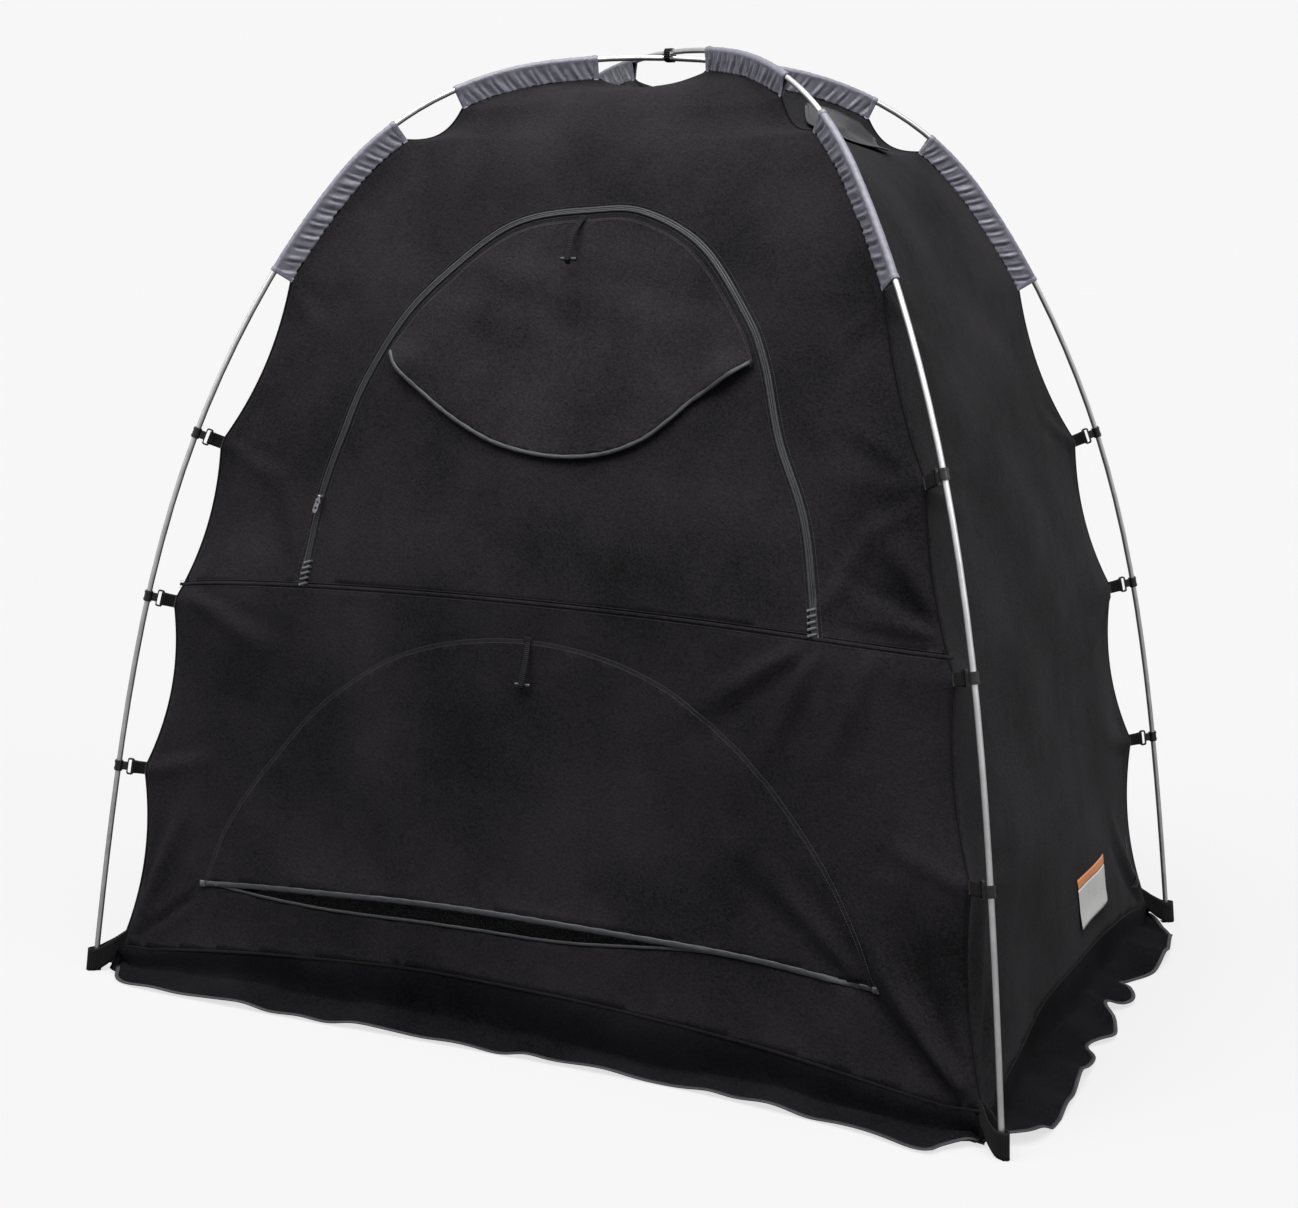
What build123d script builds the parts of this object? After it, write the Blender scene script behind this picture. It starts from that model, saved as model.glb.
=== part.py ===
# Pole-frame sleep tent: a knitted blackout canopy hung inside two crossed, sectional poles.
# Millimetres. +Z is up, +X runs along the long side, the door faces -Y.
# The origin is on the ground, at the middle of the footprint.
from build123d import *
import os
from math import atan2, cos, degrees, radians, sin, sqrt

os.makedirs("parts", exist_ok=True)

# ------------------------------------------------------------------ driving dimensions
POLE_OD = 8.5
POLE_ID = 7.1
HALF_SECTION = 192.5                 # half of one tube section, measured along the pole
BENDS = [8.5, 20, 22.5, 8.5, 6.5, 6.5, 5, 3, 1.5, 1]   # degrees turned by each half section
SECTIONS_PER_LEG = 5
LEG_AZIMUTH = degrees(atan2(537, 758))
TUBE_END_Z = 6.0                     # the cut end of the tube above the ground
CROSSING_STEP = 9.0                  # pole 2 runs this far above pole 1
FERRULE_OD = 6.9
FERRULE_ID = 5.0
FERRULE_LENGTH = 80.0
CORD_OD = 2.5

FABRIC = 1.2                         # drawn thickness of one layer of knit
SLEEVE_GAP = 27.0                    # pole axis to corner seam along a sleeve
CLIP_GAP = 38.5                      # pole axis to corner seam at a clip
FOOT_GAP = 44.0                      # pole axis to corner seam at the ground strap
SEAM_TRIM = 3.0                      # the corner is rounded off by this much
SLEEVES = [(116, 348), (454, 754)]   # arc lengths from the crossing
CLIPS = [1034, 1305, 1585]
FOOT_SEAM = 1896.0
SCALLOPS = [(348, 454, 20), (754, 1034, 21), (1034, 1305, 21), (1305, 1585, 23), (1585, 1896, 21)]

BASE_Z = 30.0
ROOF_Z = 1437.0
FACETS = [30, 240, 440, 640, 935, 1030, 1115, 1180, 1238, 1290, 1335, 1362, 1385, 1405, 1422, 1437]
CORNER_LEVELS = [110, 183, 260, 339, 400, 471, 545, 611, 670, 733, 800, 864, 980, 1350]

SEAM_Z = 650.0                       # horizontal seam and foot of the door
HEM_RISE_LONG = 60.0                 # the hem arches up between the corners
HEM_RISE_SHORT = 50.0
HEM_HALF_LONG = 715.0
HEM_HALF_SHORT = 505.0
ZIP_TAPE = 3.4
ZIP_GAP = 1.0
FLAP_LIFT = 3.0                      # a flap lies this far in front of the wall
CUT = 0.5                            # gap along a line where two panels part

SKIRT_REACH_LONG = 562.0             # outer edge of the front and back skirts from the centre
SKIRT_REACH_SHORT = 797.0
SKIRT_HALF_LONG = 690.0
SKIRT_HALF_SHORT = 470.0
SKIRT_DEPTH_LONG = 120.0
SKIRT_DEPTH_SHORT = 140.0
SKIRT_CORNER = 50.0
STRAP_HEIGHT = 38.0
FAR = 900.0                          # longer than any reach of the canopy


# ------------------------------------------------------------------ pole line
def bend_table():
    """Start radius, start drop and start angle of each half section, in radians."""
    rows = []
    reach, drop, angle = 0.0, 0.0, 0.0
    for turn in BENDS:
        rows.append((reach, drop, angle))
        bend_radius = HALF_SECTION / radians(turn)
        end = angle + radians(turn)
        reach += bend_radius * (sin(end) - sin(angle))
        drop += bend_radius * (cos(angle) - cos(end))
        angle = end
    return rows, reach, drop, angle


ROWS, FOOT_REACH, POLE_DROP, FOOT_ANGLE = bend_table()
CROSSING_Z = TUBE_END_Z + POLE_DROP + CROSSING_STEP / 2
POLE_HALF = HALF_SECTION * len(BENDS)


def pole_state(s):
    """Reach, height and slope angle of the middle pole line at arc length s from the crossing."""
    side = 1 if s >= 0 else -1
    s = abs(s)
    row = min(int(s / HALF_SECTION), len(BENDS) - 1)
    reach, drop, angle = ROWS[row]
    bend_radius = HALF_SECTION / radians(BENDS[row])
    here = angle + (s - row * HALF_SECTION) / bend_radius
    reach += bend_radius * (sin(here) - sin(angle))
    drop += bend_radius * (cos(angle) - cos(here))
    return side * reach, CROSSING_Z - drop, side * here


def lift_of(azimuth):
    """Half the crossing step: down for pole 1, up for pole 2."""
    on_pole_2 = cos(radians(azimuth)) * sin(radians(azimuth)) < 0
    return CROSSING_STEP / 2 if on_pole_2 else -CROSSING_STEP / 2


def pole_frame(azimuth, s, inward=0.0):
    """A point on the pole line, with its outward, sideways and upward directions."""
    reach, height, angle = pole_state(s)
    out_flat = Vector(cos(radians(azimuth)), sin(radians(azimuth)), 0)
    outward = out_flat * sin(angle) + Vector(0, 0, cos(angle))
    upward = out_flat * -cos(angle) + Vector(0, 0, sin(angle))
    sideways = upward.cross(outward)
    point = out_flat * reach + Vector(0, 0, height + lift_of(azimuth)) - outward * inward
    return point, outward, sideways, upward


def pole_path(azimuth, start, end):
    """Tangent arcs along one pole from arc length start to end."""
    stops = [start]
    row = int(start // HALF_SECTION) + 1
    while row * HALF_SECTION < end - 0.01:
        if row * HALF_SECTION > start + 0.01:
            stops.append(row * HALF_SECTION)
        row += 1
    stops.append(end)
    with BuildLine() as path:
        for a, b in zip(stops, stops[1:]):
            points = [pole_frame(azimuth, s)[0] for s in (a, (a + b) / 2, b)]
            ThreePointArc(*points)
    return path.wire()


def tube_along(azimuth, start, end, outer, inner=0.0):
    """A round tube or rod swept along the pole line."""
    point, outward, _, upward = pole_frame(azimuth, start)
    travel = upward * -1
    with BuildPart() as tube:
        with BuildSketch(Plane(origin=point, x_dir=outward, z_dir=travel)):
            Circle(outer / 2)
            if inner:
                Circle(inner / 2, mode=Mode.SUBTRACT)
        sweep(path=pole_path(azimuth, start, end))
    return tube.part


def save(part, name):
    """Label a piece and write its STEP file."""
    part.label = name
    export_step(part, "parts/" + name + ".step")


def save_group(parts, name):
    """Write several separate solids as one node."""
    solids = []
    for part in parts:
        solids.extend(part.solids())
    save(Compound(children=solids) if len(solids) > 1 else solids[0], name)


LEGS = {
    "front_right": -LEG_AZIMUTH,
    "back_right": LEG_AZIMUTH,
    "back_left": 180 - LEG_AZIMUTH,
    "front_left": 180 + LEG_AZIMUTH,
}


# ------------------------------------------------------------------ poles
def tip(azimuth, tube_end):
    """A plug in the end of the tube with a domed cap that stands in the ground strap."""
    point, outward, _, upward = pole_frame(azimuth, tube_end)
    plug_length = 25.0
    cap_length = 4.0
    with BuildPart() as cap:
        with BuildSketch(Plane(origin=point, x_dir=outward, z_dir=upward * -1)):
            Circle(POLE_OD / 2)
        extrude(amount=cap_length)
        fillet(cap.faces().sort_by(Axis.Z)[0].edges(), 1.5)
        with BuildSketch(Plane(origin=point, x_dir=outward, z_dir=upward)):
            Circle(FERRULE_OD / 2)
        extrude(amount=plug_length)
    return cap.part


def make_pole(name, azimuth):
    """Ten tubes, nine ferrules, the shock cord and two end tips."""
    extra = CROSSING_STEP if lift_of(azimuth) > 0 else 0.0
    tubes = []
    ferrules = []
    length = 2 * HALF_SECTION
    for k in range(-SECTIONS_PER_LEG, SECTIONS_PER_LEG):
        start, end = k * length, (k + 1) * length
        if k == -SECTIONS_PER_LEG:
            start -= extra
        if k == SECTIONS_PER_LEG - 1:
            end += extra
        tubes.append(tube_along(azimuth, start, end, POLE_OD, POLE_ID))
    for k in range(1 - SECTIONS_PER_LEG, SECTIONS_PER_LEG):
        middle = k * length
        half = FERRULE_LENGTH / 2
        ferrules.append(tube_along(azimuth, middle - half, middle + half, FERRULE_OD, FERRULE_ID))
    plug = 26.0
    reach = POLE_HALF + extra
    cord = tube_along(azimuth, -reach + plug, reach - plug, CORD_OD)
    save_group(tubes, name + "_tubes")
    save_group(ferrules, name + "_ferrules")
    save(cord, name + "_shock_cord")
    save_group([tip(azimuth, reach), tip(azimuth + 180, reach)], name + "_end_tips")


# ------------------------------------------------------------------ canopy outline
def seam_gap(s):
    """Pole axis to corner seam, without the scallops."""
    top, low = SLEEVES[1][1], CLIPS[0]
    if s <= top:
        return SLEEVE_GAP
    if s <= low:
        return SLEEVE_GAP + (CLIP_GAP - SLEEVE_GAP) * (s - top) / (low - top)
    if s <= CLIPS[2]:
        return CLIP_GAP
    return CLIP_GAP + (FOOT_GAP - CLIP_GAP) * (s - CLIPS[2]) / (FOOT_SEAM - CLIPS[2])


def corner_gap(s):
    """Pole axis to the trimmed corner, with a scallop between the fixing points."""
    gap = seam_gap(s) + SEAM_TRIM
    for start, end, depth in SCALLOPS:
        if start < s < end:
            along = (s - start) / (end - start)
            gap += 4 * depth * along * (1 - along)
    return gap


def reach_at(z, gap):
    """Reach along the diagonal of the line that stays gap(s) inside the pole, at height z."""
    low, high = 0.0, POLE_HALF
    for _ in range(40):
        s = (low + high) / 2
        reach, height, angle = pole_state(s)
        if height - gap(s) * cos(angle) > z:
            low = s
        else:
            high = s
    return reach - gap(s) * sin(angle)


FACET_REACH = [reach_at(z, seam_gap) for z in FACETS]
LEVELS = sorted(FACETS + CORNER_LEVELS)
DX = cos(radians(LEG_AZIMUTH))
DY = sin(radians(LEG_AZIMUTH))


def facet_slope(z):
    """Change of reach with height on the facet that holds z."""
    for k in range(len(FACETS) - 1):
        if z <= FACETS[k + 1]:
            return (FACET_REACH[k + 1] - FACET_REACH[k]) / (FACETS[k + 1] - FACETS[k])
    return 0.0


def wall_reach(z):
    """Reach of the faceted wall's corner at height z."""
    for k in range(len(FACETS) - 1):
        if z <= FACETS[k + 1]:
            return FACET_REACH[k] + facet_slope(z) * (z - FACETS[k])
    return FACET_REACH[-1]


def front_y(z):
    """Outer face of the front wall."""
    return -wall_reach(z) * DY


def side_x(z):
    """Outer face of the right wall."""
    return wall_reach(z) * DX


def octagon(z, depth):
    """Eight corners of the canopy's section at height z, moved in by the depth of fabric."""
    slope = (facet_slope(z - 0.01) + facet_slope(z + 0.01)) / 2
    half_x = side_x(z) - depth * sqrt(1 + (slope * DX) ** 2)
    half_y = -front_y(z) - depth * sqrt(1 + (slope * DY) ** 2)
    trim = min(reach_at(z, corner_gap), wall_reach(z) - SEAM_TRIM) - depth * sqrt(1 + slope**2)
    on_long = (trim - half_y * DY) / DX
    on_short = (trim - half_x * DX) / DY
    quarter = [(half_x, on_short), (on_long, half_y)]
    points = quarter + [(-x, y) for x, y in reversed(quarter)]
    return points + [(-x, -y) for x, y in points]


def canopy_solid(depth):
    """The whole canopy outline as one closed solid."""
    with BuildPart() as body:
        for z in LEVELS:
            height = z - depth if z == ROOF_Z else z
            with BuildSketch(Plane.XY.offset(height)):
                with BuildLine():
                    Polyline(*octagon(height, depth), close=True)
                make_face()
        loft(ruled=True)
        if depth:
            with BuildSketch(Plane.XY.offset(BASE_Z)):
                with BuildLine():
                    Polyline(*octagon(BASE_Z, depth), close=True)
                make_face()
            extrude(amount=-5)
    return body.part


def wedge(facing, gap=0.2):
    """A quarter of the plan between two diagonals: facing is -Y, +X, +Y or -X."""
    run = 2 * FAR
    corners = {
        "front": [(0, -gap), (-run * DX, -run * DY - gap), (run * DX, -run * DY - gap)],
        "back": [(0, gap), (run * DX, run * DY + gap), (-run * DX, run * DY + gap)],
        "right": [(gap, 0), (run * DX + gap, -run * DY), (run * DX + gap, run * DY)],
        "left": [(-gap, 0), (-run * DX - gap, run * DY), (-run * DX - gap, -run * DY)],
    }
    with BuildPart() as quarter:
        with BuildSketch():
            with BuildLine():
                Polyline(*corners[facing], close=True)
            make_face()
        extrude(amount=2 * FAR)
    return quarter.part


def under_hem(plane, half, rise, lower, amount):
    """The space below the arched hem of one wall."""
    with BuildPart() as below:
        with BuildSketch(plane):
            with BuildLine():
                ThreePointArc((-half, BASE_Z - lower), (0, BASE_Z + rise - lower), (half, BASE_Z - lower))
                Polyline((half, BASE_Z - lower), (half, -20), (-half, -20), (-half, BASE_Z - lower))
            make_face()
        extrude(amount=amount)
    return below.part


# ------------------------------------------------------------------ outlines on the front wall
ARCH_FOOT = (423, 650)
ARCH_KNEE = (340, 940)
ARCH_SHOULDER = (150, 1193)
ARCH_TOP = 1232.0
HOOD_CHORD = 1018.0
HOOD_HALF = 297.0
HOOD_LOW = 873.0
VENT_TOP = 610.0
VENT_SHOULDER = (375, 451)
VENT_FOOT = (557, 176)
VENT_MID = 198.0


def arch_face(inset):
    """The door's arched outline, run on below the seam so that an inset keeps its foot."""
    slant = (ARCH_FOOT[0] - ARCH_KNEE[0]) / (ARCH_KNEE[1] - ARCH_FOOT[1])
    drop = 60.0
    foot = (ARCH_FOOT[0] + slant * drop, ARCH_FOOT[1] - drop)
    leg = (ARCH_KNEE[0] - foot[0], ARCH_KNEE[1] - foot[1])
    with BuildSketch(Plane.XZ) as outline:
        with BuildLine():
            Line(foot, ARCH_KNEE)
            TangentArc(ARCH_KNEE, ARCH_SHOULDER, tangent=leg)
            ThreePointArc(ARCH_SHOULDER, (0, ARCH_TOP), (-ARCH_SHOULDER[0], ARCH_SHOULDER[1]))
            mirrored = (-leg[0], leg[1])
            TangentArc((-ARCH_KNEE[0], ARCH_KNEE[1]), (-ARCH_SHOULDER[0], ARCH_SHOULDER[1]), tangent=mirrored)
            Line((-ARCH_KNEE[0], ARCH_KNEE[1]), (-foot[0], foot[1]))
            Line((-foot[0], foot[1]), foot)
        make_face()
        if inset:
            offset(amount=-inset, kind=Kind.INTERSECTION)
    return outline.sketch


def vent_face(inset):
    """The lower vent's outline: a low crown, two falling shoulders and a bowed free edge."""
    falling = (1.0, -1.036)
    with BuildSketch(Plane.XZ) as outline:
        with BuildLine():
            shoulder_left = (-VENT_SHOULDER[0], VENT_SHOULDER[1])
            foot_left = (-VENT_FOOT[0], VENT_FOOT[1])
            ThreePointArc(shoulder_left, (0, VENT_TOP), VENT_SHOULDER)
            TangentArc(VENT_SHOULDER, VENT_FOOT, tangent=falling)
            TangentArc(shoulder_left, foot_left, tangent=(-falling[0], falling[1]))
            ThreePointArc(foot_left, (0, VENT_MID), VENT_FOOT)
        make_face()
        if inset:
            offset(amount=-inset, kind=Kind.INTERSECTION)
    return outline.sketch


def crescent_face():
    """The free part of the hood below its chord."""
    with BuildSketch(Plane.XZ) as outline:
        with BuildLine():
            ThreePointArc((-HOOD_HALF, HOOD_CHORD - CUT), (0, HOOD_LOW), (HOOD_HALF, HOOD_CHORD - CUT))
            Line((HOOD_HALF, HOOD_CHORD - CUT), (-HOOD_HALF, HOOD_CHORD - CUT))
        make_face()
    return outline.sketch


def band_face(low, high):
    """A level band across the front wall."""
    with BuildSketch(Plane.XZ) as outline:
        with BuildLine():
            Polyline((-FAR, low), (FAR, low), (FAR, high), (-FAR, high), close=True)
        make_face()
    return outline.sketch


def cut_from(shell, *keep, drop=()):
    """The part of a shell inside every outline of keep and outside every outline of drop."""
    with BuildPart() as piece:
        add(shell)
        for face in keep:
            extrude(face, amount=FAR, mode=Mode.INTERSECT)
        for face in drop:
            extrude(face, amount=FAR, mode=Mode.SUBTRACT)
    return piece.part


# ------------------------------------------------------------------ canopy panels and flaps
def make_canopy():
    """The four walls with their roof gores, the door, the vents and their flaps."""
    shell = canopy_solid(0.0) - canopy_solid(FABRIC)
    front = shell & wedge("front")
    front -= under_hem(Plane.XZ, HEM_HALF_LONG, HEM_RISE_LONG, 0, FAR)
    right = shell & wedge("right")
    right -= under_hem(Plane.YZ, HEM_HALF_SHORT, HEM_RISE_SHORT, 0, FAR)
    back = shell & wedge("back")
    back -= under_hem(Plane.XZ, HEM_HALF_LONG, HEM_RISE_LONG, 0, -FAR)
    save(right, "right_panel")
    save(back, "back_panel")
    save(mirror(right, about=Plane.YZ), "left_panel")

    upper = band_face(SEAM_Z + CUT, ROOF_Z + 50)
    lower = band_face(-50, SEAM_Z)
    tape_out = arch_face(0)
    tape_mid_out = arch_face(ZIP_TAPE)
    tape_mid_in = arch_face(ZIP_TAPE + ZIP_GAP)
    tape_in = arch_face(2 * ZIP_TAPE + ZIP_GAP)
    window = arch_face(30)
    vent = vent_face(14)
    window_band = band_face(HOOD_CHORD + 8, ROOF_Z)

    save(cut_from(front, upper, drop=[tape_out]), "front_upper_panel")
    save(cut_from(front, upper, tape_out, drop=[tape_mid_out]), "door_zip_fixed_tape")
    save(cut_from(front, upper, tape_mid_in, drop=[tape_in]), "door_zip_moving_tape")
    mesh = cut_from(front, upper, window, window_band)
    door = cut_from(front, upper, tape_in) - mesh
    save(door, "door_panel")
    save(mesh, "upper_vent_mesh")
    save(cut_from(front, lower, drop=[vent]), "front_lower_panel")
    save(cut_from(front, lower, vent), "lower_vent_mesh")

    skin = front.moved(Location((0, -FLAP_LIFT, 0)))
    hood_band = band_face(HOOD_CHORD, ROOF_Z)
    save(cut_from(skin, hood_band, arch_face(14)), "upper_vent_hood")
    save(cut_from(skin, crescent_face()), "upper_vent_flap")
    save(cut_from(skin, vent_face(0)), "lower_vent_flap")
    return right


# ------------------------------------------------------------------ sleeves, clips and straps
SLEEVE_CLEAR = 1.0                   # pole to the tunnel's inner face
SLEEVE_THICK = 0.9
SLEEVE_SEAM = 1.6


def make_sleeve(name, azimuth, start, end):
    """A flattened fabric tunnel: round over the pole, drawn in to the corner seam."""
    point, outward, _, upward = pole_frame(azimuth, start)
    lift = lift_of(azimuth)
    nearest = start if lift < 0 else end
    reach = SLEEVE_GAP + SEAM_TRIM - SLEEVE_SEAM + lift * cos(pole_state(nearest)[2])
    with BuildPart() as sleeve:
        with BuildSketch(Plane(origin=point, x_dir=outward, z_dir=upward * -1)):
            Circle(POLE_OD / 2 + SLEEVE_CLEAR + SLEEVE_THICK)
            with Locations((-reach, 0)):
                Circle(SLEEVE_SEAM / 2)
            make_hull()
            with BuildSketch(mode=Mode.PRIVATE) as tunnel:
                Circle(POLE_OD / 2 + SLEEVE_CLEAR)
                with Locations((4 - reach, 0)):
                    Circle(SLEEVE_SEAM / 4)
                make_hull()
            add(tunnel.sketch, mode=Mode.SUBTRACT)
        sweep(path=pole_path(azimuth, start, end))
    save(sleeve.part, name)


CLIP_LENGTH = 17.0
CLIP_OD = 12.7
CLIP_BORE = 8.7
BAR_IN = 22.9                        # pole axis to the far bar of the clip's ring
RING_LENGTH = 27.0
RING_THICK = 3.5
RING_NEAR = 13.0                     # pole axis to the ring's near edge
RING_END_BAR = 2.5
RIB_SPACING = 11.0                   # two raised ribs round the hook
RIB_HEIGHT = 0.7
RIB_WIDTH = 1.8
NECK = (9.0, 4.0, 13.0)              # outward, sideways and along the pole
NECK_OUT = 9.5
TAB_WIDTH = 20.0
MOUTH_SIDE = {"front_right": 1, "back_right": 1, "back_left": -1, "front_left": -1}


def clip_plane(azimuth, s):
    """Section plane across the pole: local x is outward and local y is sideways."""
    point, outward, _, upward = pole_frame(azimuth, s)
    return Plane(origin=point, x_dir=outward, z_dir=upward)


def make_clip(name, azimuth, s, mouth):
    """A snap hook on the pole, a neck and a flat ring whose far bar holds the webbing tab."""
    plane = clip_plane(azimuth, s)
    ring_far = BAR_IN + 1.1
    ring_depth = ring_far - RING_NEAR
    hole_depth = ring_depth - 4.1
    with BuildPart() as clip:
        with BuildSketch(plane):
            Circle(CLIP_OD / 2)
        extrude(amount=CLIP_LENGTH / 2, both=True)
        for side in (-1, 1):
            with BuildSketch(plane.offset(side * RIB_SPACING / 2)):
                Circle(CLIP_OD / 2 + RIB_HEIGHT)
            extrude(amount=RIB_WIDTH / 2, both=True)
        with BuildSketch(plane):
            with Locations((-NECK_OUT, 0)):
                Rectangle(NECK[0], NECK[1])
        extrude(amount=NECK[2] / 2, both=True)
        with BuildSketch(Plane(origin=plane.origin, x_dir=plane.x_dir, z_dir=plane.y_dir)):
            with Locations((-(ring_far + RING_NEAR) / 2, 0)):
                RectangleRounded(ring_depth, RING_LENGTH, 3.5)
                with Locations((0.15, 0)):
                    RectangleRounded(hole_depth, RING_LENGTH - 2 * RING_END_BAR, 1.8, mode=Mode.SUBTRACT)
        extrude(amount=RING_THICK / 2, both=True)
        with BuildSketch(plane):
            Circle(CLIP_BORE / 2)
        extrude(amount=CLIP_LENGTH, both=True, mode=Mode.SUBTRACT)
        with BuildSketch(plane):
            with Locations((-BAR_IN, 0)):
                Circle(BAR_IN + CLIP_BORE / 2 + 0.1)
                Circle(BAR_IN - CLIP_BORE / 2 - 0.1, mode=Mode.SUBTRACT)
            with Locations((0, mouth * 10)):
                Rectangle(60, 20, mode=Mode.INTERSECT)
            Rectangle(20, 40, mode=Mode.INTERSECT)
        extrude(amount=CLIP_LENGTH, both=True, mode=Mode.SUBTRACT)
    save(clip.part, name)


def clip_tab(azimuth, s):
    """Webbing folded round the ring's bar, its two layers joined towards the corner seam."""
    plane = clip_plane(azimuth, s)
    end = CLIP_GAP + SEAM_TRIM - 0.8
    joined = BAR_IN + 7
    layer = 1.1
    with BuildPart() as tab:
        with BuildSketch(plane):
            with Locations((-BAR_IN, 0)):
                Circle(3 * layer)
            with Locations((-joined, 0)):
                Circle(layer)
            make_hull()
            with Locations((-(joined + end) / 2, 0)):
                Rectangle(end - joined, 2 * layer)
            with Locations((-BAR_IN, 0)):
                Circle(2.3, mode=Mode.SUBTRACT)
        extrude(amount=TAB_WIDTH / 2, both=True)
    return tab.part


def corner_strap(azimuth):
    """Wide webbing on edge, doubled into a pocket that holds the pole end off the ground."""
    reach = wall_reach(BASE_Z)
    foot = FOOT_REACH + 0.6
    floor = 1.2
    wall = 1.6
    clear = 0.9
    lean = (STRAP_HEIGHT - TUBE_END_Z) * cos(FOOT_ANGLE)
    turned = Plane(origin=(0, 0, 0), x_dir=(cos(radians(azimuth)), sin(radians(azimuth)), 0), z_dir=(0, 0, 1))
    with BuildPart() as strap:
        with BuildSketch(turned):
            with Locations((foot, 0), (foot - 0.6 - lean, 0)):
                Circle(POLE_OD / 2 + clear + wall)
            with Locations((reach - SEAM_TRIM + 2.6, 0), (foot + 16.4, 0)):
                Circle(wall)
            make_hull()
        extrude(amount=STRAP_HEIGHT)
        with BuildSketch(turned.offset(floor)):
            with Locations((foot, 0), (foot - 1.6 - lean, 0)):
                Circle(POLE_OD / 2 + clear)
            make_hull()
        extrude(amount=STRAP_HEIGHT, mode=Mode.SUBTRACT)
    return strap.part


def make_crossing_tie():
    """A band round both poles where they cross, with a tail down to the roof."""
    half_width = 11.8
    half_height = CROSSING_STEP / 2 + POLE_OD / 2 + 0.6
    band = 1.4
    low = CROSSING_Z - half_height - band
    with BuildPart() as tie:
        with BuildSketch(Plane.YZ):
            with Locations((0, CROSSING_Z)):
                RectangleRounded(2 * (half_width + band), 2 * (half_height + band), 4)
                RectangleRounded(2 * half_width, 2 * half_height, 3, mode=Mode.SUBTRACT)
            with Locations((0, (low + ROOF_Z + 0.3) / 2)):
                Rectangle(10, low - ROOF_Z - 0.3 + 0.4)
        extrude(amount=8, both=True)
    save(tie.part, "crossing_tie")


# ------------------------------------------------------------------ skirts
def skirt_profile(reach, top, low):
    """Down from the hem, round the knee and out along the ground, as (outward, z) points."""
    return [(top, BASE_Z + 62), (low, BASE_Z), (low + 12, 9), (low + 26, 3.5), (reach - 3, 1.4)]


def make_skirt(facing):
    """A hanging strip of knit that turns out along the ground, with a bound outer edge."""
    long_side = facing in ("front", "back")
    if long_side:
        reach, half, span, rise = SKIRT_REACH_LONG, SKIRT_HALF_LONG, HEM_HALF_LONG, HEM_RISE_LONG
        top, low = -front_y(BASE_Z + 62) - 0.6, -front_y(BASE_Z) - 0.6
        side, across = Plane.YZ, Plane.XZ
    else:
        reach, half, span, rise = SKIRT_REACH_SHORT, SKIRT_HALF_SHORT, HEM_HALF_SHORT, HEM_RISE_SHORT
        top, low = side_x(BASE_Z + 62) - 0.6, side_x(BASE_Z) - 0.6
        side, across = Plane.XZ, Plane.YZ
    sign = -1 if facing in ("front", "left") else 1
    points = [(sign * out, z) for out, z in skirt_profile(reach, top, low)]
    bound = 3.0
    with BuildPart() as skirt:
        with BuildSketch(side):
            with BuildLine():
                Polyline(*points)
            trace(line_width=FABRIC)
            with Locations((sign * (reach - bound / 2), 1.4)):
                Rectangle(bound, 2.6)
        extrude(amount=half, both=True)
        with BuildSketch():
            if long_side:
                with Locations((0, sign * (reach - SKIRT_DEPTH_LONG / 2))):
                    RectangleRounded(2 * half, SKIRT_DEPTH_LONG, SKIRT_CORNER)
            else:
                with Locations((sign * (reach - SKIRT_DEPTH_SHORT / 2), 0)):
                    RectangleRounded(SKIRT_DEPTH_SHORT, 2 * half, SKIRT_CORNER)
        extrude(amount=200, mode=Mode.INTERSECT)
        amount = FAR if facing in ("front", "right") else -FAR
        add(under_hem(across, span, rise, CUT, amount), mode=Mode.INTERSECT)
    save(skirt.part, facing + "_skirt")


# ------------------------------------------------------------------ zip sliders and toggles
def wall_frame(x, z, front=True, slant=0.0):
    """Frame on the wall's outer face: u across, v up along the zip, w outward."""
    slope = -facet_slope(z) * (DY if front else DX)
    if front:
        origin = Vector(x, front_y(z), z)
        v = Vector(slant, slope, 1).normalized()
        w = Vector(0, -1, slope).normalized()
    else:
        origin = Vector(side_x(z), x, z)
        v = Vector(-slope, 0, 1).normalized()
        w = Vector(1, 0, slope).normalized()
    return origin, v.cross(w), v, w


SLIDER_CLEAR = 0.6                   # wall to the slider's back
SLIDER_THICK = 3.2
BRIDGE_OUT = 6.6                     # wall to the bridge bar's axis
BRIDGE_SET = 2.0                     # bridge bar below the slider's top end
BRIDGE_OD = 1.4
EYE_ID = 1.56
EYE_OD = 3.2


def make_slider(name, frame, width, length):
    """A slider body with a small bridge bar that the pull hangs from."""
    origin, u, v, w = frame
    face = Plane(origin=origin + w * SLIDER_CLEAR, x_dir=u, z_dir=w)
    bridge = Plane(origin=origin + w * BRIDGE_OUT + v * (length / 2 - BRIDGE_SET), x_dir=v, z_dir=u)
    post = (1.4, 2.6)
    post_x = width / 2 - 0.8
    with BuildPart() as slider:
        with BuildSketch(face):
            RectangleRounded(width, length, width / 4)
        extrude(amount=SLIDER_THICK)
        with BuildSketch(face.offset(SLIDER_THICK)):
            with Locations((-post_x, length / 2 - BRIDGE_SET), (post_x, length / 2 - BRIDGE_SET)):
                Rectangle(*post)
        extrude(amount=BRIDGE_OUT + BRIDGE_OD / 2 + 0.1 - SLIDER_CLEAR - SLIDER_THICK)
        with BuildSketch(bridge):
            Circle(BRIDGE_OD / 2)
        extrude(amount=width / 2 - 0.4, both=True)
    save(slider.part, name)


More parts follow.
